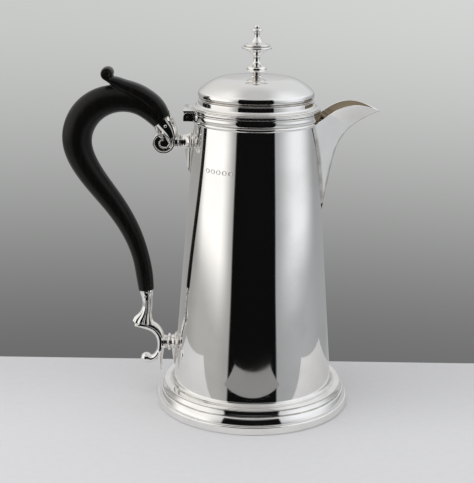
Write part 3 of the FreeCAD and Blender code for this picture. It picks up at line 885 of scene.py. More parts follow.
class Lathe:
    """Geometry Nodes tree that turns a profile about the Z axis."""

    weld: float = 1e-6

    def __init__(self) -> None:
        """Builds the tree."""
        tree, given, result, self.keys = node_group(
            "GeometryNodeTree", "turned_piece",
            {"Profile": "Geometry", "Segments": "Int", "Finish": "Material"}, {"Piece": "Geometry"},
        )
        profile = given["Profile"]
        points = tree.fed("GeometryNodeAttributeDomainSize", {0: profile}, component="MESH")
        count = points.outputs["Point Count"]
        columns = tree.math("ADD", given["Segments"], 1.0)
        sources = {"Vertices X": columns, "Vertices Y": count, "Size X": 1.0, "Size Y": 1.0}
        grid = tree.fed("GeometryNodeMeshGrid", sources).outputs["Mesh"]
        position = tree.node("GeometryNodeInputPosition").outputs[0]
        here = tree.fed("ShaderNodeSeparateXYZ", {0: position}).outputs
        last = tree.math("SUBTRACT", count, 1.0)
        row = tree.math("ROUND", tree.math("MULTIPLY", tree.math("ADD", here["Y"], 0.5), last))
        angle = tree.math("MULTIPLY", tree.math("ADD", here["X"], 0.5), 2 * math.pi)
        spot = self.sampled(tree, profile, position, row, "FLOAT_VECTOR")
        place = tree.fed("ShaderNodeSeparateXYZ", {0: spot}).outputs
        turned = tree.fed("ShaderNodeCombineXYZ", {
            "X": tree.math("MULTIPLY", place["X"], tree.math("COSINE", angle)),
            "Y": tree.math("MULTIPLY", place["X"], tree.math("SINE", angle)),
            "Z": place["Z"],
        }).outputs[0]
        depth = tree.fed("GeometryNodeInputNamedAttribute", {"Name": GROOVE}, data_type="FLOAT")
        groove = self.sampled(tree, profile, depth.outputs["Attribute"], row, "FLOAT")
        sources = {"Geometry": grid, "Name": GROOVE, "Value": groove}
        store = tree.fed("GeometryNodeStoreNamedAttribute", sources, data_type="FLOAT", domain="POINT")
        sources = {"Geometry": store.outputs["Geometry"], "Position": turned}
        move = tree.fed("GeometryNodeSetPosition", sources)
        sources = {"Geometry": move.outputs["Geometry"], "Distance": self.weld}
        merge = tree.fed("GeometryNodeMergeByDistance", sources)
        tree.feed(result["Piece"], tree.realized(merge.outputs["Geometry"], given["Finish"]))
        self.group = tree.tree

    @staticmethod
    def sampled(
        tree: Tree, profile: bpy.types.NodeSocket, value: object, row: object, kind: str
    ) -> bpy.types.NodeSocket:
        """Reads a value of the profile at a row of the grid."""
        sources = {"Geometry": profile, "Value": value, "Index": row}
        return tree.fed("GeometryNodeSampleIndex", sources, data_type=kind, domain="POINT").outputs["Value"]

    def turn(
        self, name: str, profile: np.ndarray, finish: bpy.types.Material, segments: int = 224,
        place: Matrix | None = None,
    ) -> bpy.types.Object:
        """Turns a profile.

        Args:
            name: name of the piece.
            profile: radius and height in rows, with the solid on the left.
            finish: its material.
            segments: steps round the axis.
            place: where a piece that isn't on the pot's axis goes.

        Returns:
            The piece.
        """
        mesh = bpy.data.meshes.new(name)
        points = [(radius * MM, 0.0, height * MM) for radius, height in profile]
        mesh.from_pydata(points, [(index, index + 1) for index in range(len(points) - 1)], [])
        grooved(mesh, hollowness(profile))
        piece = formed(name, mesh, self.group, {self.keys["Segments"]: segments, self.keys["Finish"]: finish})
        smoothed(piece, place=place)
        return piece


class Repeat:
    """Geometry Nodes tree that puts one shape at each point of a pattern."""

    def __init__(self) -> None:
        """Builds the tree."""
        tree, given, result, self.keys = node_group(
            "GeometryNodeTree", "repeated_shape",
            {"Pattern": "Geometry", "Shape": "Object", "Finish": "Material"}, {"Pieces": "Geometry"},
        )
        shape = tree.fed("GeometryNodeObjectInfo", {"Object": given["Shape"]}).outputs["Geometry"]
        way = tree.fed("GeometryNodeInputNamedAttribute", {"Name": FACING}, data_type="FLOAT_VECTOR")
        sources = {"Vector": way.outputs["Attribute"]}
        turn = tree.fed("FunctionNodeAlignRotationToVector", sources, axis="Z").outputs["Rotation"]
        sources = {"Points": given["Pattern"], "Instance": shape, "Rotation": turn}
        copies = tree.fed("GeometryNodeInstanceOnPoints", sources).outputs["Instances"]
        tree.feed(result["Pieces"], tree.realized(copies, given["Finish"]))
        self.group = tree.tree

    def place(
        self, name: str, shape: bpy.types.Object, places: Sequence[Place], ways: Sequence[Place],
        finish: bpy.types.Material,
    ) -> bpy.types.Object:
        """Repeats a shape and removes the original.

        Args:
            name: name of the pieces.
            shape: object at the origin that is repeated.
            places: where the copies go, in millimetres.
            ways: where the shape's +Z points at each place.
            finish: material of the copies.

        Returns:
            The copies as one object.
        """
        mesh = bpy.data.meshes.new(name)
        mesh.from_pydata([tuple(value * MM for value in place) for place in places], [], [])
        arrows = mesh.attributes.new(FACING, "FLOAT_VECTOR", "POINT").data
        arrows.foreach_set("vector", np.array(ways, np.float32).ravel())
        pieces = formed(name, mesh, self.group, {self.keys["Shape"]: shape, self.keys["Finish"]: finish})
        bpy.data.objects.remove(shape)
        return pieces


@dataclass
class Bench:
    """Tools and finishes that every sub-assembly uses."""

    workshop: Workshop
    lathe: Lathe
    repeat: Repeat
    polished: bpy.types.Material
    raised: bpy.types.Material
    tarnish_and_shade: bpy.types.Material
    recess: bpy.types.Material
    wood: bpy.types.Material

    @classmethod
    def ready(cls) -> Bench:
        """Makes the shared trees and the finishes.

        Returns:
            The bench.
        """
        workshop = Workshop()
        finishes = [finish.material(workshop) for finish in (POLISHED, RAISED, TARNISH_AND_SHADE, RECESS, EbonisedWood())]
        return cls(workshop, Lathe(), Repeat(), *finishes)

    def skin(
        self, name: str, skin: Skin, *finishes: bpy.types.Material, sharp: float = 35.0
    ) -> bpy.types.Object:
        """Makes an object of a skin.

        Args:
            name: name of the piece.
            skin: its points and faces.
            finishes: materials by index.
            sharp: angle above which an edge stays sharp.

        Returns:
            The piece.
        """
        piece = new_object(name, skin.mesh(name))
        for finish in finishes:
            piece.data.materials.append(finish)
        smoothed(piece, sharp)
        return piece

    def seat(self, piece: bpy.types.Object, body: Body, slot: Slot, *nodes: str) -> None:
        """Hands a finished piece to the frame.

        Args:
            piece: the piece.
            body: body that it moves with.
            slot: material slot that it stands for; not used.
            nodes: solids that it replaces.
        """
        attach(piece, body.value)
        if nodes:
            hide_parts(*nodes)
        LOG.info("%s: %d faces", piece.name, len(piece.data.polygons))


# Foot and wall


@dataclass
class Wall:
    """Straight tapering wall with its floor, its strainer and the mouth moulding."""

    low: float = 15.8
    top: float = 179.0
    base_radius: float = 48.2
    mouth_radius: float = 35.6
    sheet: float = 1.0
    floor_sheet: float = 1.2
    segments: int = 256
    rim_depth: float = 5.6
    rim_cap: float = 1.3
    rim_radius: float = 37.9
    rim_seat: Point = (35.85, 0.2)
    bead: float = 0.75
    groove: float = 0.7
    bulge: float = 0.12
    play: float = 0.05
    hole: float = 3.0
    hole_pitch: float = 4.6
    hole_rows: int = 6
    first_row: float = 0.75
    row_pitch: float = 0.87
    drill: float = 6.0
    punch: float = 1.5
    punch_root: float = -0.3
    punch_z: float = 149.5
    punch_angles: tuple[float, ...] = (-45.5, -39.5, -33.5, -27.5, -21.5)
    punch_tilt: float = 0.077

    def radius(self, z: float) -> float:
        """Outside radius of the wall at a height."""
        share = (z - self.low) / (self.top - self.low)
        return self.base_radius + (self.mouth_radius - self.base_radius) * share

    def build(self, bench: Bench, spout: Spout, hinge: Hinge) -> None:
        """Builds the pieces.

        Args:
            bench: tools and finishes.
            spout: spout that covers the strainer.
            hinge: hinge that is let into the mouth.
        """
        floor = self.low - self.floor_sheet
        plate = trace(
            2.0, (0, floor), (self.base_radius, floor), (self.base_radius, self.low), (0, self.low), soft=0
        )
        bench.seat(bench.lathe.turn("base_disc", plate, bench.tarnish_and_shade), Body.POT, Slot.INSIDE, "base_plate")
        bench.seat(self.shell(bench, spout), Body.POT, Slot.SILVER, "body_shell")
        bench.seat(self.mouth(bench, hinge), Body.POT, Slot.SILVER, "mouth_moulding")
        bench.seat(self.punches(bench), Body.POT, Slot.SILVER)

    def shell(self, bench: Bench, spout: Spout) -> bpy.types.Object:
        """Raised wall, drilled where the spout stands.

        Args:
            bench: tools and finishes.
            spout: spout that covers the strainer.

        Returns:
            The wall.
        """
        outside = [(self.base_radius, self.low), (self.mouth_radius, self.top)]
        inside = [(radius - self.sheet, height) for radius, height in reversed(outside)]
        profile = trace(3.0, outside[0], outside[1], *inside, outside[0], soft=0)
        shell = bench.lathe.turn("raised_wall", profile, bench.raised, self.segments)
        places = []
        for row in range(self.hole_rows):
            z = self.top - self.rim_depth - self.hole_pitch * (self.first_row + self.row_pitch * row)
            room = 2 * (spout.root_width(z) - spout.sheet) - self.hole
            count = 1 + max(0, int(room / self.hole_pitch))
            spread = [(index - (count - 1) / 2) * self.hole_pitch for index in range(count)]
            places += [(self.radius(z), y, z) for y in spread]
        half = self.hole / 2
        drill = trace(1.0, (0, -self.drill), (half, -self.drill), (half, self.drill), (0, self.drill), soft=0)
        bit = bench.lathe.turn("drill", drill, bench.raised, segments=20)
        cut(shell, bench.repeat.place("strainer", bit, places, [(1, 0, 0)] * len(places), bench.raised))
        self.line_inside(shell, bench.tarnish_and_shade)
        return shell

    def line_inside(self, shell: bpy.types.Object, finish: bpy.types.Material) -> None:
        """Gives the inner side of the wall its own finish.

        Args:
            shell: the wall.
            finish: finish of its inside.
        """
        smoothed(shell, 30.0)
        shell.data.materials.append(finish)
        last = len(shell.data.materials) - 1
        for face in shell.data.polygons:
            outward = Vector((face.center.x, face.center.y, 0)).normalized()
            if face.normal.dot(outward) < -0.5:
                face.material_index = last

    def mouth(self, bench: Bench, hinge: Hinge) -> bpy.types.Object:
        """Moulded ring round the mouth, cut away for the hinge.

        Args:
            bench: tools and finishes.
            hinge: hinge that is let in.

        Returns:
            The ring.
        """
        low = self.top - self.rim_depth
        bead = self.radius(low) + self.bead
        bead_top = low + 3 * self.bead
        band_low = bead_top + self.groove
        band_top = self.top + (self.rim_cap - self.groove) / 2
        edge = self.rim_radius - self.bulge
        cap = self.top + self.rim_cap
        start = (self.rim_seat[0], low + self.rim_seat[1])
        inner = self.mouth_radius - self.sheet
        ledge = self.top + self.play
        profile = trace(
            0.16, start, (self.radius(low), low), (bead, low),
            ((bead + self.bead * 0.7, low + 1.7 * self.bead), (bead, bead_top)), (edge, band_low),
            ((self.rim_radius + self.bulge, (band_low + band_top) / 2), (edge, band_top)),
            (self.rim_radius, band_top + self.groove / 2), (self.rim_radius, cap), (inner, cap),
            (inner, ledge), (self.mouth_radius + self.play, ledge), start,
        )
        ring = bench.lathe.turn("mouth_ring", profile, bench.polished, self.segments)
        cut(ring, hinge.seat_block())
        smoothed(ring)
        return ring

    def punches(self, bench: Bench) -> bpy.types.Object:
        """Row of small blank punch marks near the mouth, each a shallow pad with nothing on it.

        Args:
            bench: tools and finishes.

        Returns:
            The marks.
        """
        size, root = self.punch, self.punch_root
        pad = trace(
            0.06, (0, root), (size, root), (size, 0.02), ((size * 0.86, 0.22), (size * 0.7, 0.06)), (0, 0.03),
            soft=1,
        )
        shape = bench.lathe.turn("punch", pad, bench.polished, segments=24)
        radius = self.radius(self.punch_z)
        places = []
        ways = []
        for angle in self.punch_angles:
            x, y = math.sin(math.radians(angle)), -math.cos(math.radians(angle))
            places.append((radius * x, radius * y, self.punch_z))
            ways.append((x, y, self.punch_tilt))
        marks = bench.repeat.place("blank_punches", shape, places, ways, bench.polished)
        smoothed(marks)
        return marks


@dataclass
class Foot:
    """Spread foot: a plain band below and a stepped moulding above."""

    radius: float = 58.59
    band: float = 5.0
    width: float = 3.4
    low_edge: float = 0.35
    top_edge: float = 0.4
    moulding: Profile = (
        (56.4, 5.0), (57.6, 5.0), (57.6, 5.9), ((56.92, 7.8), (56.0, 9.6)), (55.0, 9.6), (55.0, 10.2),
        ((54.33, 11.55), (53.8, 12.9)), ((54.25, 13.35), (53.8, 13.8)), (50.6, 13.8),
        ((48.92, 14.68), (48.2, 16.0)), (47.6, 16.0), (47.6, 14.6), (46.0, 14.6), (46.0, 13.2), (51.6, 7.75),
        (55.19, 5.0), (56.4, 5.0),
    )

    def build(self, bench: Bench) -> None:
        """Builds the pieces.

        Args:
            bench: tools and finishes.
        """
        inner = self.radius - self.width
        middle = self.radius - self.width / 2
        band = trace(
            0.2, (middle, 0), (self.radius - self.low_edge, 0), (self.radius, self.low_edge),
            (self.radius, self.band - self.top_edge), (self.radius - self.top_edge, self.band),
            (inner, self.band), (inner, 0), (middle, 0),
        )
        piece = bench.lathe.turn("foot_edge_band", band, bench.polished)
        bench.seat(piece, Body.POT, Slot.SILVER, "foot_band")
        piece = bench.lathe.turn("foot_steps", trace(0.2, *self.moulding), bench.polished)
        bench.seat(piece, Body.POT, Slot.SILVER, "foot_moulding")


# Spout


@dataclass
class Spout:
    """High beak of sheet silver with a keel."""

    wall: Wall
    sheet: float = 1.1
    low: float = 121.0
    tip: Point = (72.6, 181.0)
    crest: Point = (56.0, 185.4)
    root: float = 175.5
    half_width: float = 15.0
    widening: float = 1.25
    bulge: float = 0.35
    narrowing: float = 1.25
    keel_half: float = 0.3
    lean: float = 0.32
    hook: float = 6.5
    rows: int = 110
    columns: int = 36
    overrun: float = 1.16
    start: float = 0.6
    lip: float = 0.3
    thinnest: float = 0.35
    # Reach and middle of the painted dark outline along the wall joint and the keel.
    outline_reach: float = 1.5
    outline_middle: float = 0.5
    blending: float = 1.5
    keel_inset: float = 2.2
    keel_easing: float = 1.2
    headroom: float = 5.0
    halvings: int = 40

    def root_width(self, z: float) -> float:
        """Half width where the spout meets the wall."""
        return self.half_width * max(0.0, (z - self.low) / (self.root - self.low)) ** self.widening

    def keel(self, z: float) -> float:
        """Distance of the keel from the pot's axis.

        Args:
            z: height.

        Returns:
            The distance.
        """
        root = self.wall.radius(self.low)
        share = max(0.0, (z - self.low) / (self.tip[1] - self.low))
        return root + (self.tip[0] - root) * (self.lean * share + (1 - self.lean) * share**self.hook)

    def edge(self) -> np.ndarray:
        """Side view of the upper edge.

        Returns:
            Rows of x and z.
        """
        rise = self.crest[1] - self.root
        run = self.crest[0] - self.wall.mouth_radius
        fall = (self.tip[0] - self.crest[0], self.tip[1] - self.crest[1])
        mouth = self.wall.mouth_radius
        return smooth_through(np.array([
            (mouth - run * 0.4, self.root - rise * 0.4), (mouth, self.root),
            (mouth + run * 0.6, self.root + rise * 0.8), self.crest,
            (self.crest[0] + fall[0] * 0.5, self.crest[1] + fall[1] * 0.25), self.tip,
        ]), 200)

    def point(self, share: float, z: float, inset: float) -> Point:
        """Place on one side of a level section.

        Args:
            share: 0 at the wall, 1 at the keel.
            z: height.
            inset: distance drawn in from the outside.

        Returns:
            Distance along X and half width.
        """
        blend = min(1.0, max(0.0, (z - self.low) / (self.root - self.low))) ** self.blending
        root = self.wall.radius(z)
        depth = max(0.0, self.keel(z) - root - inset * (self.keel_inset - self.keel_easing * blend))
        straight = 1 - share
        bulged = max(0.0, straight) ** self.narrowing * (1 + self.bulge * share)
        half = max(0.0, self.root_width(z) - inset)
        width = half * ((1 - blend) * straight + blend * bulged) + self.keel_half * share
        return root + depth * share, width

    def side(self, inset: float) -> np.ndarray:
        """Grid of points of the outer or inner surface, from one root over the keel to the other.

        Args:
            inset: distance drawn in from the outside.

        Returns:
            Points as rows by columns by 3.
        """
        edge = self.edge()
        spread = np.linspace(-1, 1, 2 * self.columns + 1)
        grid = np.zeros((self.rows, len(spread), 3))
        for column, across in enumerate(spread):
            share = 1 - abs(across) * self.overrun
            low, high = self.low, self.crest[1] + self.headroom
            for _ in range(self.halvings):
                z = (low + high) / 2
                x = self.point(share, z, 0.0)[0]
                if z > np.interp(x, edge[:, 0], edge[:, 1]):
                    high = z
                else:
                    low = z
            for row, z in enumerate(np.linspace(self.low + self.start, low, self.rows)):
                drawn = min(inset, self.thinnest * self.root_width(z))
                x, width = self.point(share, z, drawn)
                grid[row, column] = (x, np.sign(across) * width, z)
        return grid

    def painted_outline(self, mesh: bpy.types.Mesh) -> np.ndarray:
        """Strength of the painted dark outline along the wall and the keel, a dark reflection painted as
        colour.

        Args:
            mesh: the spout's mesh.

        Returns:
            One value for each point.
        """
        values = np.zeros(len(mesh.vertices), np.float32)
        for index, vertex in enumerate(mesh.vertices):
            x, y, z = vertex.co / MM
            wall = math.hypot(x, y) - self.wall.radius(z)
            keel = self.keel(z) - x
            values[index] = min(1.0, max(0.0, self.outline_reach - abs(wall - self.outline_middle), self.outline_reach - keel))
        return values

    def build(self, bench: Bench) -> None:
        """Builds the spout.

        Args:
            bench: tools and finishes.
        """
        skin = Skin()
        outer_rows = self.side(0.0)
        inner_rows = self.side(self.sheet)
        lip = (outer_rows[-1] + inner_rows[-1]) / 2 + (0, 0, self.lip)
        outer = skin.grid(outer_rows, False)
        # Inner faces take the inside finish: tarnish and painted shade inside the spout.
        inner = skin.grid(inner_rows, False, 1)
        top = skin.grid(lip[None], False)[0]
        skin.strip(outer[-1], top, False)
        skin.strip(top, inner[-1], False)
        skin.strip(outer[0], inner[0], False)
        skin.strip(outer[:, 0], inner[:, 0], False)
        skin.strip(outer[:, -1], inner[:, -1], False)
        piece = bench.skin("beak_spout", skin, bench.polished, bench.tarnish_and_shade, sharp=60.0)
        # Painted dark outline along the wall joint and the keel, carried in the tarnish mask.
        grooved(piece.data, self.painted_outline(piece.data))
        bench.seat(piece, Body.POT, Slot.SILVER, "spout")


# Hinge


@dataclass
class Hinge:
    """Flush hinge at the back of the mouth."""

    x: float = -39.6
    z: float = 177.6
    radius: float = 2.5
    back: float = -36.3
    leaf: float = 0.5
    length: float = 24.0
    knuckles: int = 5
    gap: float = 0.3
    pin: float = 0.9
    lid_bottom: float = 180.6
    lid_radius: float = 38.0
    plate: float = 0.8
    mouth_top: float = 180.3
    bevel: float = 0.18
    leaf_bevel: float = 0.1
    plate_bevel: float = 0.2
    seat_reach: float = 20.0
    pin_end: float = 0.25
    pin_dome: float = 0.1

    def seat_block(self) -> bpy.types.Object:
        """Block that cuts the hinge's seat into the mouth moulding.

        Returns:
            The block.
        """
        half = self.length / 2 + self.gap
        outline = self.upright(self.seat_reach, self.z - self.radius - self.gap, self.lid_bottom)
        return self.prism("hinge_seat", outline, -half, half, 0.0)

    def upright(self, thick: float, low: float, high: float) -> list[Point]:
        """Section of a block that stands against the back of the seat."""
        left = self.back - thick
        return [(left, low), (self.back, low), (self.back, high), (left, high)]

    def prism(
        self, name: str, outline: Sequence[Point], y0: float, y1: float, bevel: float
    ) -> bpy.types.Object:
        """Bar along the hinge line with a section in the plane of the handle."""
        return slab(name, *([(x, y, z) for x, z in outline] for y in (y0, y1)), bevel)

    def knuckle_row(self, name: str, outline: Sequence[Point], first: int) -> list[bpy.types.Object]:
        """Every second knuckle from the first one."""
        return [self.prism(name, outline, y0, y1, self.bevel) for y0, y1 in self.spans(first)]

    def spans(self, first: int) -> list[Point]:
        """Ends of every second knuckle.

        Args:
            first: index of the first one.

        Returns:
            Low and high end along the hinge line.
        """
        pitch = self.length / self.knuckles
        spans = []
        for index in range(first, self.knuckles, 2):
            start = -self.length / 2 + index * pitch
            low = start + (self.gap / 2 if index > 0 else 0)
            high = start + pitch - (self.gap / 2 if index < self.knuckles - 1 else 0)
            spans.append((low, high))
        return spans

    def round_part(self, start: float, end: float) -> list[Point]:
        """Points on the barrel between two angles in degrees."""
        angles = np.radians(np.linspace(start, end, 17))
        return [(self.x + self.radius * math.cos(a), self.z + self.radius * math.sin(a)) for a in angles]

    def build(self, bench: Bench) -> None:
        """Builds both leaves and the pin.

        Args:
            bench: tools and finishes.
        """
        low = self.z - self.radius
        left = self.x - self.radius
        right = self.x + self.radius
        half = self.length / 2
        backing = self.upright(self.leaf, low, self.mouth_top)
        fixed = [(left, low), (self.back, low), (self.back, self.z + self.radius)] + self.round_part(90, 180)
        parts = [self.prism("hinge_backing", backing, -half, half, self.leaf_bevel)]
        parts += self.knuckle_row("fixed_knuckle", fixed, 0)
        leaf = joined("hinge_pot_half", parts, bench.polished)
        bench.seat(leaf, Body.POT, Slot.SILVER, "hinge_body_leaf")
        moving = self.round_part(180, 360) + [(right, self.lid_bottom), (left, self.lid_bottom)]
        parts = self.knuckle_row("moving_knuckle", moving, 1)
        leaf = joined("hinge_lid_half", [*parts, self.lid_plate()], bench.polished)
        bench.seat(leaf, Body.LID, Slot.SILVER, "hinge_lid_leaf")
        end = half - self.pin_end
        tip = half + self.pin_dome
        pin = trace(
            0.2, (0, -tip), ((self.pin * 0.7, -half), (self.pin, -end)), (self.pin, end),
            ((self.pin * 0.7, half), (0, tip)),
        )
        rod = bench.lathe.turn("hinge_rod", pin, bench.tarnish_and_shade, 32, facing((self.x, 0, self.z), SIDEWAYS))
        bench.seat(rod, Body.POT, Slot.INSIDE, "hinge_pin")

    def lid_plate(self) -> bpy.types.Object:
        """Plate that joins the lid's knuckles to the lid's edge.

        Returns:
            The plate.
        """
        half = self.length / 2
        left = self.x - self.radius
        reach = math.degrees(math.asin(half / self.lid_radius))
        angles = np.radians(np.linspace(180 - reach, 180 + reach, 25))
        rim = [(self.lid_radius * math.cos(a), self.lid_radius * math.sin(a)) for a in angles]
        outline = [(left, -half), (left, half)] + rim
        levels = (self.lid_bottom, self.lid_bottom + self.plate)
        return slab("lid_plate", *([(x, y, z) for x, y in outline] for z in levels), self.plate_bevel)


# Lid


@dataclass
class Lid:
    """Domed lid with its bezel, finial and nut."""

    bottom: float = 180.6
    flange_top: float = 184.4
    flange: Profile = (
        (35.5, 180.6), (38.0, 180.6), (38.0, 181.8), (37.4, 181.8), ((37.7, 182.1), (37.4, 182.4)),
        (36.8, 182.4), ((37.1, 182.7), (36.8, 183.0)), ((35.26, 183.49), (34.6, 184.4)), (32.0, 184.4),
        (32.0, 180.6), (35.5, 180.6),
    )
    sheet: float = 1.0
    bezel_depth: float = 6.0
    bezel: float = 33.6
    dome: float = 34.0
    band_rise: float = 2.6
    groove: float = 1.0
    groove_rise: float = 1.6
    roll_rise: float = 3.2
    roll_in: float = 0.45
    shoulder: Point = (27.0, 196.9)
    bulge: float = 0.2
    crown: float = 18.0
    crown_rise: float = 0.55
    crown_top: float = 200.4
    stud: float = 1.5
    nut: float = 3.2
    nut_height: float = 2.4
    nut_chamfer: Point = (0.86, 0.3)
    nut_gap: float = 0.05
    finial: float = 29.6
    seat: float = 3.4
    seat_depth: float = 0.2
    stem: float = 1.8
    ring: float = 5.8
    saucer: float = 8.8
    tip: float = 3.1
    ball: float = 1.5
    stud_spare: float = 0.8

    def build(self, bench: Bench) -> None:
        """Builds the pieces.

        Args:
            bench: tools and finishes.
        """
        rim = bench.lathe.turn("lid_rim", trace(0.14, *self.flange), bench.polished)
        bench.seat(rim, Body.LID, Slot.SILVER, "lid_flange")
        low = self.bottom - self.bezel_depth
        inside = self.bezel - self.sheet
        middle = (self.bezel + inside) / 2
        ring = trace(
            0.25, (middle, low), (self.bezel, low), (self.bezel, self.bottom), (inside, self.bottom),
            (inside, low), (middle, low),
        )
        bench.seat(bench.lathe.turn("lid_collar", ring, bench.tarnish_and_shade), Body.LID, Slot.INSIDE, "lid_bezel")
        top = self.crown_top
        outside = self.dome_steps(0.0)
        under = self.reversed_steps(self.dome_steps(self.sheet))
        profile = np.concatenate((
            trace(0.25, *outside, (self.stud, top)),
            trace(0.8, (self.stud, top - self.sheet), *under, outside[0]),
        ))
        dome = bench.lathe.turn("lid_dome_raised", profile, bench.polished)
        self.line(dome, bench)
        bench.seat(dome, Body.LID, Slot.SILVER, "lid_dome")
        knop = bench.lathe.turn("finial_turned", self.finial_profile(), bench.polished, segments=112)
        bench.seat(knop, Body.LID, Slot.SILVER, "finial")
        bench.seat(self.hex_nut(bench), Body.LID, Slot.INSIDE, "finial_nut")

    def dome_steps(self, inset: float) -> list[object]:
        """Outline of the dome from the flange up to the finial's seat.

        Args:
            inset: distance drawn in from the outside.

        Returns:
            Steps for a trace.
        """
        slant = inset * 0.7
        top = self.crown_top - inset
        crown = (self.crown - inset * 0.2, top - self.crown_rise)
        shoulder = (self.shoulder[0] - slant, self.shoulder[1] - slant)
        wall = self.dome - inset
        band = self.flange_top + self.band_rise
        groove = band + self.groove_rise
        roll = (wall - self.roll_in, groove + self.roll_rise - inset * 0.5)
        return [
            (wall, self.flange_top), (wall, band),
            ((wall - self.groove, band + self.groove_rise / 2), (wall - self.groove * 0.1, groove)),
            ((wall, groove + self.roll_rise * 0.5), roll),
            (((shoulder[0] + roll[0]) / 2 + self.bulge, (shoulder[1] + roll[1]) / 2 + self.bulge), shoulder),
            ((crown[0] * 0.48 + shoulder[0] * 0.52, crown[1] * 0.69 + shoulder[1] * 0.31), crown),
            ((self.crown * 0.56, top - self.crown_rise * 0.3), (self.seat, top)),
        ]

    def reversed_steps(self, steps: list[object]) -> list[object]:
        """The same outline from the top down.

        Args:
            steps: steps for a trace.

        Returns:
            The steps the other way.
        """
        ends = [step[1] if isinstance(step[0], tuple) else step for step in steps]
        back: list[object] = [ends[-1]]
        for index in range(len(steps) - 1, 0, -1):
            step = steps[index]
            before = ends[index - 1]
            back.append((step[0], before) if isinstance(step[0], tuple) else before)
        return back

    def line(self, dome: bpy.types.Object, bench: Bench) -> None:
        """Gives the underside of the dome its duller finish.

        Args:
            dome: the dome.
            bench: tools and finishes.
        """
        dome.data.materials.append(bench.tarnish_and_shade)
        under = len(dome.data.materials) - 1
        profile = trace(0.25, *self.dome_steps(self.sheet * 0.5))
        for face in dome.data.polygons:
            height = face.center.z / MM
            radius = math.hypot(face.center.x, face.center.y) / MM
            near = profile[np.argmin(((profile - (radius, height)) ** 2).sum(1))]
            out, up = radius - near[0], height - near[1]
            away = Vector((face.center.x, face.center.y, 0)).normalized() * out + Vector((0, 0, up))
            if face.normal.dot(away) > 0 and out + up < 0:
                face.material_index = under

    def finial_profile(self) -> np.ndarray:
        """Turned knop: a ring, a stem, a saucer and a small ball.

        Returns:
            The profile.
        """
        seat, stem, ring, saucer = self.seat, self.stem, self.ring, self.saucer
        tip, ball, top = self.tip, self.ball, self.crown_top

        def up(radius: float, share: float) -> Point:
            """Point at a share of the finial's height."""
            return (radius, top + self.finial * share)

        def on_ball(degrees: float) -> Point:
            """Point on the ball at the tip."""
            angle = math.radians(degrees)
            return (ball * math.cos(angle), top + self.finial - ball + ball * math.sin(angle))

        low = top - self.sheet - self.nut_height - self.stud_spare
        foot = top - self.seat_depth
        return trace(
            0.16, (0, low), (self.stud, low), (self.stud, foot), (seat, foot), up(seat, 0.01),
            (up(stem * 1.25, 0.025), up(stem * 1.1, 0.045)), (up(ring * 0.55, 0.07), up(ring * 0.83, 0.09)),
            (up(ring, 0.15), up(ring * 0.76, 0.205)), (up(stem * 1.35, 0.26), up(stem, 0.35)),
            (up(stem * 1.2, 0.395), up(stem * 1.7, 0.425)), (up(saucer * 0.6, 0.49), up(saucer * 0.9, 0.532)),
            (up(saucer, 0.556), up(saucer * 0.9, 0.58)), up(saucer * 0.82, 0.585),
            (up(saucer * 0.86, 0.602), up(saucer * 0.76, 0.622)),
            (up(saucer * 0.45, 0.655), up(saucer * 0.3, 0.71)),
            (up(stem * 1.05, 0.745), up(stem * 0.85, 0.785)), (up(stem, 0.845), up(tip, 0.885)),
            (up(tip * 0.9, 0.91), on_ball(-30)), (on_ball(30), on_ball(90)), soft=1,
        )

    def hex_nut(self, bench: Bench) -> bpy.types.Object:
        """Six-sided nut under the crown.

        Args:
            bench: tools and finishes.

        Returns:
            The nut.
        """
        top = self.crown_top - self.sheet
        low = top - self.nut_height
        angles = np.radians(np.arange(0, 360, 60))
        narrow, rise = self.nut_chamfer
        rows = []
        for z, share in ((low, narrow), (low + rise, 1.0), (top - self.nut_gap, 1.0)):
            rows.append([(self.nut * share * math.cos(a), self.nut * share * math.sin(a), z) for a in angles])
        skin = Skin()
        index = skin.grid(np.array(rows), True)
        skin.fan(index[0])
        skin.fan(index[-1])
        return bench.skin("nut_six_sided", skin, bench.tarnish_and_shade)


# Handle mounts

# Shares of a plate's reach at which its dome is drawn
PLATE_RINGS = (0.02, 0.15, 0.3, 0.45, 0.6, 0.72, 0.82, 0.9, 0.96, 0.99, 1.0)
PLATE_DOME = 0.62
PLATE_ROOT = -0.3


def teardrop(wall: Wall, z: float, radius: float, tail: float, thick: float) -> Skin:
    """Plate on the wall: round above and drawn out to a point below, slightly domed.

    Args:
        wall: wall that carries it.
        z: height of the middle of its round part.
        radius: radius of the round part.
        tail: distance from the middle to the point.
        thick: thickness in the middle.

    Returns:
        The plate's skin.
    """
    touch = math.acos(radius / tail)
    angles = np.linspace(0, 2 * math.pi, 97)[:-1]
    down = np.abs((angles + math.pi) % (2 * math.pi) - math.pi)
    reach = np.where(down < touch, radius / np.cos(np.minimum(touch, touch - down)), radius)
    levels = [(share, (1 - share) ** PLATE_DOME) for share in PLATE_RINGS] + [(1.0, PLATE_ROOT)]
    rows = np.zeros((len(levels), len(angles), 3))
    for row, (share, rise) in enumerate(levels):
        y = reach * share * np.sin(angles)
        height = z - reach * share * np.cos(angles)
        out = np.array([wall.radius(h) for h in height])
        rows[row] = np.stack([-np.sqrt(out**2 - y**2) - thick * rise, y, height], 1)
    skin = Skin()
    index = skin.grid(rows, True)
    skin.fan(index[0])
    skin.fan(index[-1])
    return skin


def rimmed(plate: bpy.types.Object, wall: Wall, reach: float = 1.4) -> bpy.types.Object:
    """Marks where a plate meets the wall, so that tarnish stays there.

    Args:
        plate: the plate.
        wall: wall that carries it.
        reach: how far from the wall the tarnish goes, in millimetres.

    Returns:
        The plate.
    """
    points = [point.co for point in plate.data.vertices]
    away = [math.hypot(place.x, place.y) / MM - wall.radius(place.z / MM) for place in points]
    grooved(plate.data, np.clip(reach - np.array(away), 0, 1))
    return plate


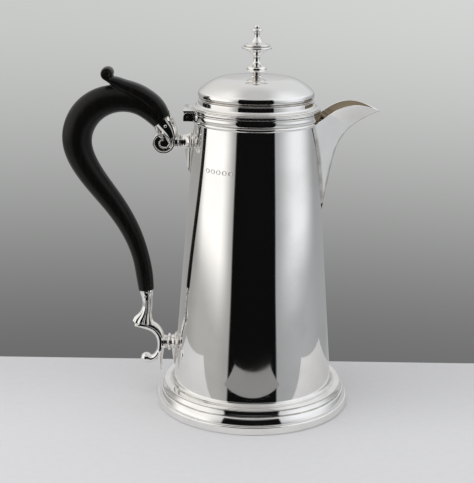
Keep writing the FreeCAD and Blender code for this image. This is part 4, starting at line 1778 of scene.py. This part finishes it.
def rivet(radius: float, half: float) -> np.ndarray:
    """Profile of a cross pin with domed ends.

    Args:
        radius: radius of the pin.
        half: half its length.

    Returns:
        The profile.
    """
    side, shoulder, end = radius * 0.75, half - 0.12, half - 0.35
    return trace(
        0.15, (0, -half), ((side, -shoulder), (radius, -end)),
        (radius, end), ((side, shoulder), (0, half)), soft=1,
    )


@dataclass
class Mount:
    """One end of the handle: a plate on the wall, a turned neck and a cross pin through the wood."""

    wall: Wall
    end: str
    z: float
    plate: float
    plate_radius: float
    plate_tail: float
    spool: Profile
    joint: Point
    way: Point
    pin_half: float
    pin: float = 0.9
    pin_depth: float = 3.6
    sharp: float = 60.0

    def inward(self, depth: float) -> Point:
        """Place on the wood's axis, at a depth in the metal."""
        return (self.joint[0] + self.way[0] * depth, self.joint[1] + self.way[1] * depth)

    def fit(self, bench: Bench) -> None:
        """Builds what only this end has."""
        raise NotImplementedError

    def build(self, bench: Bench) -> None:
        """Builds the pieces.

        Args:
            bench: tools and finishes.
        """
        drop = teardrop(self.wall, self.z, self.plate_radius, self.plate_tail, self.plate)
        plate = bench.skin(f"{self.end}_wall_plate", drop, bench.polished, sharp=self.sharp)
        bench.seat(rimmed(plate, self.wall), Body.POT, Slot.SILVER, f"{self.end}_backplate")
        root = facing((-self.wall.radius(self.z), 0, self.z), (-1, 0, 0))
        neck = bench.lathe.turn(f"{self.end}_spool", trace(0.2, *self.spool), bench.polished, 72, root)
        bench.seat(neck, Body.POT, Slot.SILVER, f"{self.end}_neck")
        self.fit(bench)
        x, z = self.inward(self.pin_depth)
        profile = rivet(self.pin, self.pin_half)
        rod = bench.lathe.turn(f"{self.end}_rivet", profile, bench.polished, 32, facing((x, 0, z), SIDEWAYS))
        bench.seat(rod, Body.POT, Slot.SILVER, f"{self.end}_handle_pin")


@dataclass
class UpperMount(Mount):
    """Socket of the handle's upper end, with its volute, neck and back plate."""

    end: str = "upper"
    z: float = 161.3
    plate: float = 5.2
    plate_radius: float = 7.2
    plate_tail: float = 19.0
    spool: Profile = (
        (0, -0.6), (6.8, -0.6), (6.8, 0.9), ((4.9, 2.6), (4.1, 5.0)), ((3.9, 6.6), (4.2, 7.6)),
        ((4.7, 8.1), (4.2, 8.6)), (4.5, 10.4), (0, 10.4),
    )
    joint: Point = UPPER_JOINT
    way: Point = (0.602, -0.799)
    pin_half: float = SOCKET_HALF + PIN_HEAD
    cup: tuple[Place, ...] = ((0.2, 6.3, 6.1), (1.4, 6.1, 5.9))
    knee: tuple[Station, ...] = (
        (-52.6, 170.6, 5.6, 5.4), (-50.4, 166.8, 4.7, 4.9), (-49.1, 163.0, 3.7, 4.5),
        (-48.9, 160.0, 2.8, 4.0), (-49.9, 157.6, 2.0, 3.4),
    )
    leaf: tuple[Station, ...] = (
        (-57.2, 170.6, 2.9, 4.3), (-57.0, 168.0, 2.2, 4.2),
        (-56.0, 165.2, 1.6, 3.9), (-54.6, 163.6, 1.1, 3.6),
    )
    volute: Point = (-54.2, 161.0)
    volute_half: float = 4.7
    web: tuple[Point, ...] = ((-5.4, 0.4), (-3.4, 4.4), (0.0, 5.5), (3.4, 4.4), (5.4, 0.4))
    web_half: float = 2.7

    def fit(self, bench: Bench) -> None:
        """Builds the socket."""
        bench.seat(self.socket(bench), Body.POT, Slot.SILVER, "upper_socket")

    def socket(self, bench: Bench) -> bpy.types.Object:
        """Cup for the wood that runs down into a rolled scroll.

        Args:
            bench: tools and finishes.

        Returns:
            The socket.
        """
        skin = Skin()
        cup = [(*self.inward(depth), half, across) for depth, half, across in self.cup]
        swept(skin, [*cup, *self.knee], sides=64, square=2.1)
        swept(skin, self.leaf, rings=60, sides=40, flutes=8, flute_depth=0.25, round_ends=True)
        roll = spiral(self.volute, 30.0, 0.6, (6.2, 5.7), (1.2, 1.0), self.volute_half)
        roll += spiral(self.volute, -186.0, 1.25, (5.7, 1.3), (1.0, 0.6), self.volute_half)[1:]
        swept(skin, roll, rings=260, sides=32, square=3.0)
        metal = bench.skin("upper_scroll_socket", skin, bench.polished, sharp=self.sharp)
        x, z = self.volute
        skin = Skin()
        disc = [(x + away, z, half, self.web_half) for away, half in self.web]
        swept(skin, disc, rings=40, sides=40, square=8.0)
        web = bench.skin("web", skin, bench.recess, sharp=self.sharp)
        for face in web.data.polygons:
            face.material_index = 1
        return joined("upper_scroll_socket", (metal, web), bench.polished, bench.recess)


@dataclass
class LowerMount(Mount):
    """Ferrule of the handle's lower end on its C-scroll, with the neck and back plate."""

    end: str = "lower"
    z: float = 35.9
    plate: float = 3.4
    plate_radius: float = 7.0
    plate_tail: float = 15.0
    spool: Profile = (
        (0, -0.6), (6.2, -0.6), (6.2, 0.8), ((4.7, 2.0), (4.2, 3.4)), (4.2, 3.8), ((5.3, 4.6), (4.2, 5.4)),
        ((3.9, 6.6), (4.3, 7.8)), (4.8, 9.4), (0, 9.4),
    )
    joint: Point = LOWER_JOINT
    way: Point = (-0.156, -0.988)
    pin_half: float = 4.2
    strap: tuple[Station, ...] = (
        (-71.9, 46.6, 0.8, 2.6), (-69.6, 46.9, 1.7, 3.2), (-66.2, 46.9, 2.6, 3.5), (-60.3, 44.7, 2.95, 3.5),
        (-57.1, 40.1, 2.6, 3.5), (-56.5, 34.6, 2.1, 3.4), (-57.0, 29.0, 2.0, 3.3), (-57.0, 24.2, 1.5, 2.8),
        (-56.8, 19.6, 1.2, 2.2), (-56.75, 18.0, 1.0, 1.8),
    )
    arm: tuple[Station, ...] = (
        (-57.0, 32.5, 1.4, 2.8), (-58.4, 28.4, 1.9, 3.1), (-60.8, 25.4, 2.1, 3.1), (-62.9, 24.7, 2.4, 3.1),
    )
    ball: Point = (-66.1, 25.0)
    ball_steps: tuple[Station, ...] = ((1.2, 0.1, 3.2, 3.4), (0.4, 0.2, 3.3, 3.5))
    bell: tuple[Station, ...] = (
        (-65.2, 69.5, 4.0, 4.0), (-65.1, 68.0, 3.95, 3.95), (-64.9, 66.0, 3.5, 3.6), (-64.6, 61.0, 3.0, 3.1),
        (-65.3, 56.0, 3.2, 3.2), (-66.2, 52.0, 4.5, 3.9), (-66.9, 49.2, 6.1, 4.6), (-67.1, 48.0, 6.3, 4.6),
    )

    def fit(self, bench: Bench) -> None:
        """Builds the C-scroll with its tail and ball-ended arm, and the fluted ferrule on it.

        Args:
            bench: tools and finishes.
        """
        skin = Skin()
        swept(skin, self.strap, rings=140, sides=40, square=2.6, round_ends=True)
        x, z = self.ball
        ball = [(x + away, z + rise, half, across) for away, rise, half, across in self.ball_steps]
        swept(skin, [*self.arm, *ball], rings=70, sides=40, square=2.2, round_ends=True)
        scroll = bench.skin("lower_c_scroll", skin, bench.polished, sharp=self.sharp)
        bench.seat(scroll, Body.POT, Slot.SILVER, "lower_scroll")
        skin = Skin()
        swept(skin, self.bell, rings=110, sides=96, flutes=10, flute_depth=0.16)
        ferrule = bench.skin("fluted_ferrule", skin, bench.polished, sharp=self.sharp)
        bench.seat(ferrule, Body.POT, Slot.SILVER, "lower_ferrule")


# Handle


@dataclass
class Handle:
    """Black wooden handle: a swelling S with a leaf along its top that rolls up into a thumb rest."""

    lower: Point = LOWER_JOINT
    upper: Point = UPPER_JOINT
    flattening: float = 0.92
    curve: tuple[Place, ...] = (
        (0.0, 0.0, 9.4), (9.2, 1.9, 10.3), (18.0, 4.3, 10.3), (36.0, 12.5, 11.5), (52.7, 25.0, 13.4),
        (69.8, 40.3, 15.4), (88.3, 48.9, 17.5), (105.0, 43.9, 18.0), (114.2, 30.4, 16.6), (114.0, 14.4, 14.6),
        (105.3, 0.0, 13.0),
    )
    leaf: tuple[Station, ...] = (
        (-55.0, 175.2, 4.9, 6.0), (-57.9, 181.2, 5.0, 6.6), (-63.6, 187.0, 4.6, 7.0),
        (-71.0, 191.2, 4.3, 6.9), (-78.0, 194.0, 3.6, 6.2), (-83.4, 196.5, 2.6, 5.6),
    )
    curl: Point = (-86.4, 200.9)
    curl_half: float = 5.5
    core: tuple[Point, ...] = ((-1.6, 0.5), (0.0, 1.7), (1.6, 0.5))
    core_half: float = 5.1
    voxel: float = 0.42
    easing: float = 0.5
    easing_passes: int = 4

    def stations(self) -> list[Station]:
        """Stations of the grip.

        Returns:
            Stations from the ferrule to the socket.
        """
        span = math.dist(self.lower, self.upper)
        chord = ((self.upper[0] - self.lower[0]) / span, (self.upper[1] - self.lower[1]) / span)
        stretch = span / self.curve[-1][0]
        rows = []
        for rise, reach, thick in self.curve:
            x = self.lower[0] + chord[0] * rise * stretch - chord[1] * reach
            z = self.lower[1] + chord[1] * rise * stretch + chord[0] * reach
            rows.append((x, z, thick / 2, thick / 2 * self.flattening))
        return rows

    def build(self, bench: Bench) -> None:
        """Builds the grip with its leaf and thumb rest as one closed skin.

        Args:
            bench: tools and finishes.
        """
        skin = Skin()
        swept(skin, self.stations(), rings=260, sides=72)
        roll = spiral(self.curl, -100.0, 1.15, (3.05, 1.5), (1.5, 1.1), self.curl_half)
        swept(skin, [*self.leaf, *roll], rings=240, square=2.6)
        x, z = self.curl
        core = [(x + away, z, half, self.core_half) for away, half in self.core]
        swept(skin, core, rings=20, sides=32, square=3.0)
        grip = bench.skin("wooden_grip", skin, bench.wood)
        shape = grip.modifiers.new("one_skin", "REMESH")
        shape.mode = "VOXEL"
        shape.voxel_size = self.voxel * MM
        shape.use_smooth_shade = True
        ease = grip.modifiers.new("eased", "SMOOTH")
        ease.factor = self.easing
        ease.iterations = self.easing_passes
        settled(grip)
        grip.data.materials.clear()
        grip.data.materials.append(bench.wood)
        smoothed(grip, 70.0)
        bench.seat(grip, Body.POT, Slot.WOOD, "handle_grip")


# Studio


@dataclass
class Studio:
    """Table sheet, soft light and the camera at the photograph's angle."""

    front: float = -0.072
    # Grey card that only the silver sees, painted shade of the table in front of the pot.
    front_card: Area = (-0.085, 0.085, -0.201, -0.125)
    back: float = 0.064
    side: float = 0.19
    far: float = 1.3
    pale: Colour = (0.77, 0.77, 0.785)
    # Colour of the grey front card, painted shade.
    grey: Colour = (0.46, 0.46, 0.45)
    # Painted shade: how much darker the sheet gets towards the back, and where it starts.
    back_shade: float = 0.8
    back_shade_from: float = -0.07
    back_shade_share: float = 0.7
    fleck_scale: float = 220.0
    fleck_share: float = 0.3
    matt: float = 0.75
    camera: Place = (0.0, -0.71468, 0.2962)
    pitch: float = 0.2690
    roll: float = 0.0149
    focal: float = 1228.2
    sensor: float = 36.0
    frame: tuple[int, int] = (474, 483)
    middle: Point = (253.99, 243.77)
    backdrop: float = 0.36
    panels: tuple[Area, Area] = ((-76.0, 16.0, 26.0, 1.14), (80.0, 4.0, 44.0, 0.92))
    dark_half: float = 34.0
    dark_feather: float = 3.0
    dark: float = 0.004
    below: float = 0.6
    below_edge: Point = (-24.0, -17.0)
    table_edge: Point = (-12.0, -8.0)
    table_dim: float = 0.1
    behind: float = 0.56
    behind_turn: Point = (105.0, 140.0)
    behind_edge: Point = (-2.0, 5.0)
    ceiling: float = 0.55
    ceiling_turn: Point = (24.0, 62.0)
    ceiling_edge: Point = (4.0, 22.0)
    zenith: Point = (58.0, 80.0)
    glow: float = 1.0
    dusk: float = 0.72
    dusk_turn: Point = (105.0, 150.0)
    shade_edge: Point = (27.0, 40.0)
    fill: float = 0.72
    warm: Colour = (1.0, 0.985, 0.965)
    cool: Colour = (0.965, 0.985, 1.02)
    tint_edge: Point = (-0.87, 0.87)
    wall: Colour = (0.985, 1.0, 0.985)
    wall_edge: Point = (-22.0, -3.0)
    wall_levels: Point = (0.15, 0.63)
    wall_sides: Point = (-0.22, 0.22)
    wall_slope: Point = (0.95, 1.06)
    lamp_place: Place = (-0.35, -0.25, 1.15)
    lamp_way: Place = (0.35, 0.25, -1.1)
    lamp_size: float = 0.9
    lamp_power: float = 4.0

    def build(self, bench: Bench) -> None:
        """Sets the stage.

        Args:
            bench: tools and finishes.
        """
        self.table(bench)
        self.world()
        self.lamp()
        self.aim()
        bpy.context.scene.view_settings.view_transform = "Standard"

    def table(self, bench: Bench) -> None:
        """Pale sheet that the pot stands on, and a grey card before it that only the silver sees: painted
        shade of the table in front of the pot.

        Args:
            bench: tools and finishes.
        """
        side, far, front, back = self.side, self.far, self.front, self.back
        sheet = self.card(bench, "pale_sheet", self.pale, (-side, side, front, back))
        apron = self.card(
            bench, "table_round_it", self.pale, (-far, far, -far, front), (-far, -side, front, back),
            (side, far, front, back),
        )
        apron.visible_glossy = False
        # Painted shade of the table in front, seen only in reflections.
        card = self.card(bench, "front_card", self.grey, self.front_card)
        card.visible_camera = False
        card.visible_diffuse = False
        card.visible_shadow = False

    def card(self, bench: Bench, name: str, colour: Colour, *areas: Area) -> bpy.types.Object:
        """Matt sheet that lies level with the foot, with painted shade that makes it a little darker towards
        the back.

        Args:
            bench: tools and finishes.
            name: name of the sheet.
            colour: its colour.
            areas: left, right, front and back of each part of it.

        Returns:
            The sheet.
        """
        material, tree, shader, where = bench.workshop.material(name)
        depth = tree.fed("ShaderNodeSeparateXYZ", {0: where}).outputs["Y"]
        fleck = tree.noise(where, self.fleck_scale, 3.0)
        # Painted shade towards the back of the sheet.
        shade_toward_back = tree.fade(depth, self.back_shade_from, self.back, 0.0, self.back_shade_share)
        share = tree.math("MULTIPLY_ADD", fleck, self.fleck_share, shade_toward_back)
        deep = tuple(value * self.back_shade for value in colour)
        tree.feed(shader.inputs["Base Color"], tree.mix(share, (*colour, 1), (*deep, 1)))
        shader.inputs["Roughness"].default_value = self.matt
        mesh = bpy.data.meshes.new(name)
        corners = [(x, y, 0) for x0, x1, y0, y1 in areas for x, y in ((x0, y0), (x1, y0), (x1, y1), (x0, y1))]
        mesh.from_pydata(corners, [], [(at, at + 1, at + 2, at + 3) for at in range(0, len(corners), 4)])
        mesh.materials.append(material)
        return new_object(name, mesh)

    def mirrored(self, tree: Tree, across: object, height: object) -> bpy.types.NodeSocket:
        """Brightness of the room that the silver mirrors.

        Args:
            tree: the world's tree.
            across: degrees to the right of the camera's side.
            height: degrees above the horizon.

        Returns:
            The brightness.
        """
        turned = tree.math("ABSOLUTE", across)
        over_table = tree.fade(height, *self.table_edge, self.table_dim, 1.0)
        level: object = self.backdrop
        for centre, half, feather, strength in self.panels:
            away = tree.math("ABSOLUTE", tree.math("SUBTRACT", across, centre))
            mask = tree.math("MULTIPLY", tree.fade(away, half, half + feather, 1.0, 0.0), over_table)
            level = tree.math("ADD", level, tree.math("MULTIPLY", mask, strength - self.backdrop))
        level = tree.toward(tree.fade(height, *self.below_edge, 1.0, 0.0), level, self.below)
        above_horizon = tree.fade(height, *self.behind_edge)
        rear = tree.math("MULTIPLY", tree.fade(turned, *self.behind_turn), above_horizon)
        level = tree.toward(rear, level, self.behind)
        front_roof = tree.fade(turned, *self.ceiling_turn, self.ceiling, self.glow)
        roof = tree.math("MULTIPLY", front_roof, tree.fade(turned, *self.dusk_turn, 1.0, self.dusk))
        roof = tree.toward(tree.fade(height, *self.zenith), roof, self.ceiling)
        level = tree.toward(tree.fade(height, *self.ceiling_edge), level, roof)
        side = tree.fade(turned, self.dark_half, self.dark_half + self.dark_feather, 1.0, 0.0)
        shade = tree.math("MULTIPLY", side, tree.fade(height, *self.shade_edge, 1.0, 0.0))
        return tree.toward(shade, level, self.dark)

    def world(self) -> None:
        """Soft panels to the left and right, a pale ceiling and the dark side where the camera stands."""
        world = bpy.data.worlds.new("studio")
        world.use_nodes = True
        bpy.context.scene.world = world
        tree = Tree(world.node_tree)
        shader = next(node for node in world.node_tree.nodes if node.type == "BACKGROUND")
        looking = tree.node("ShaderNodeTexCoord").outputs["Generated"]
        way = tree.fed("ShaderNodeSeparateXYZ", {0: looking}).outputs
        ahead = tree.math("MULTIPLY", way["Y"], -1.0)
        across = tree.math("MULTIPLY", tree.math("ARCTAN2", way["X"], ahead), DEGREES_PER_RADIAN)
        height = tree.math("MULTIPLY", tree.math("ARCSINE", way["Z"]), DEGREES_PER_RADIAN)
        tint = tree.mix(tree.fade(way["X"], *self.tint_edge), (*self.warm, 1), (*self.cool, 1))
        sources = {0: tint, "Scale": self.mirrored(tree, across, height)}
        seen = tree.fed("ShaderNodeVectorMath", sources, operation="SCALE").outputs[0]
        slope = tree.fade(way["X"], *self.wall_sides, *self.wall_slope)
        grey = tree.math("MULTIPLY", tree.fade(height, *self.wall_edge, *self.wall_levels), slope)
        plain = tree.fed("ShaderNodeVectorMath", {0: self.wall, "Scale": grey}, operation="SCALE").outputs[0]
        rays = tree.node("ShaderNodeLightPath").outputs
        mirror = tree.math("MAXIMUM", rays["Is Glossy Ray"], rays["Is Transmission Ray"])
        light = tree.mix(mirror, (self.fill, self.fill, self.fill, 1), seen)
        tree.feed(shader.inputs["Color"], tree.mix(rays["Is Camera Ray"], light, plain))

    def lamp(self) -> None:
        """Large soft lamp overhead that grounds the pot with a faint shadow."""
        data = bpy.data.lights.new("overhead", "AREA")
        data.shape = "DISK"
        data.size = self.lamp_size
        data.energy = self.lamp_power
        lamp = bpy.data.objects.new("overhead", data)
        lamp.location = self.lamp_place
        lamp.rotation_euler = Vector(self.lamp_way).to_track_quat("-Z", "Y").to_euler()
        lamp.visible_glossy = False
        bpy.context.scene.collection.objects.link(lamp)

    def aim(self) -> None:
        """Camera at the photograph's place and angle."""
        data = bpy.data.cameras.new("camera")
        longest = max(self.frame)
        data.sensor_width = self.sensor
        data.lens = self.sensor * self.focal / longest
        data.shift_x = -(self.middle[0] - self.frame[0] / 2) / longest
        data.shift_y = (self.middle[1] - self.frame[1] / 2) / longest
        data.clip_start = 0.01
        ahead = Vector((0, math.cos(self.pitch), -math.sin(self.pitch)))
        up = Vector((0, math.sin(self.pitch), math.cos(self.pitch)))
        right = Vector((1, 0, 0))
        x = right * math.cos(self.roll) + up * math.sin(self.roll)
        y = up * math.cos(self.roll) - right * math.sin(self.roll)
        turn = Matrix((x, y, -ahead)).transposed().to_4x4()
        camera = bpy.data.objects.new("camera", data)
        camera.matrix_world = Matrix.Translation(Vector(self.camera)) @ turn
        bpy.context.scene.collection.objects.link(camera)
        bpy.context.scene.camera = camera


def main() -> None:
    """Builds every sub-assembly on the frame."""
    logging.basicConfig(level=logging.INFO, format="%(message)s")
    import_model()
    bench = Bench.ready()
    wall = Wall()
    spout = Spout(wall)
    hinge = Hinge()
    Studio().build(bench)
    Foot().build(bench)
    wall.build(bench, spout, hinge)
    spout.build(bench)
    hinge.build(bench)
    Lid().build(bench)
    UpperMount(wall).build(bench)
    LowerMount(wall).build(bench)
    Handle().build(bench)


if __name__ == "__main__":
    main()
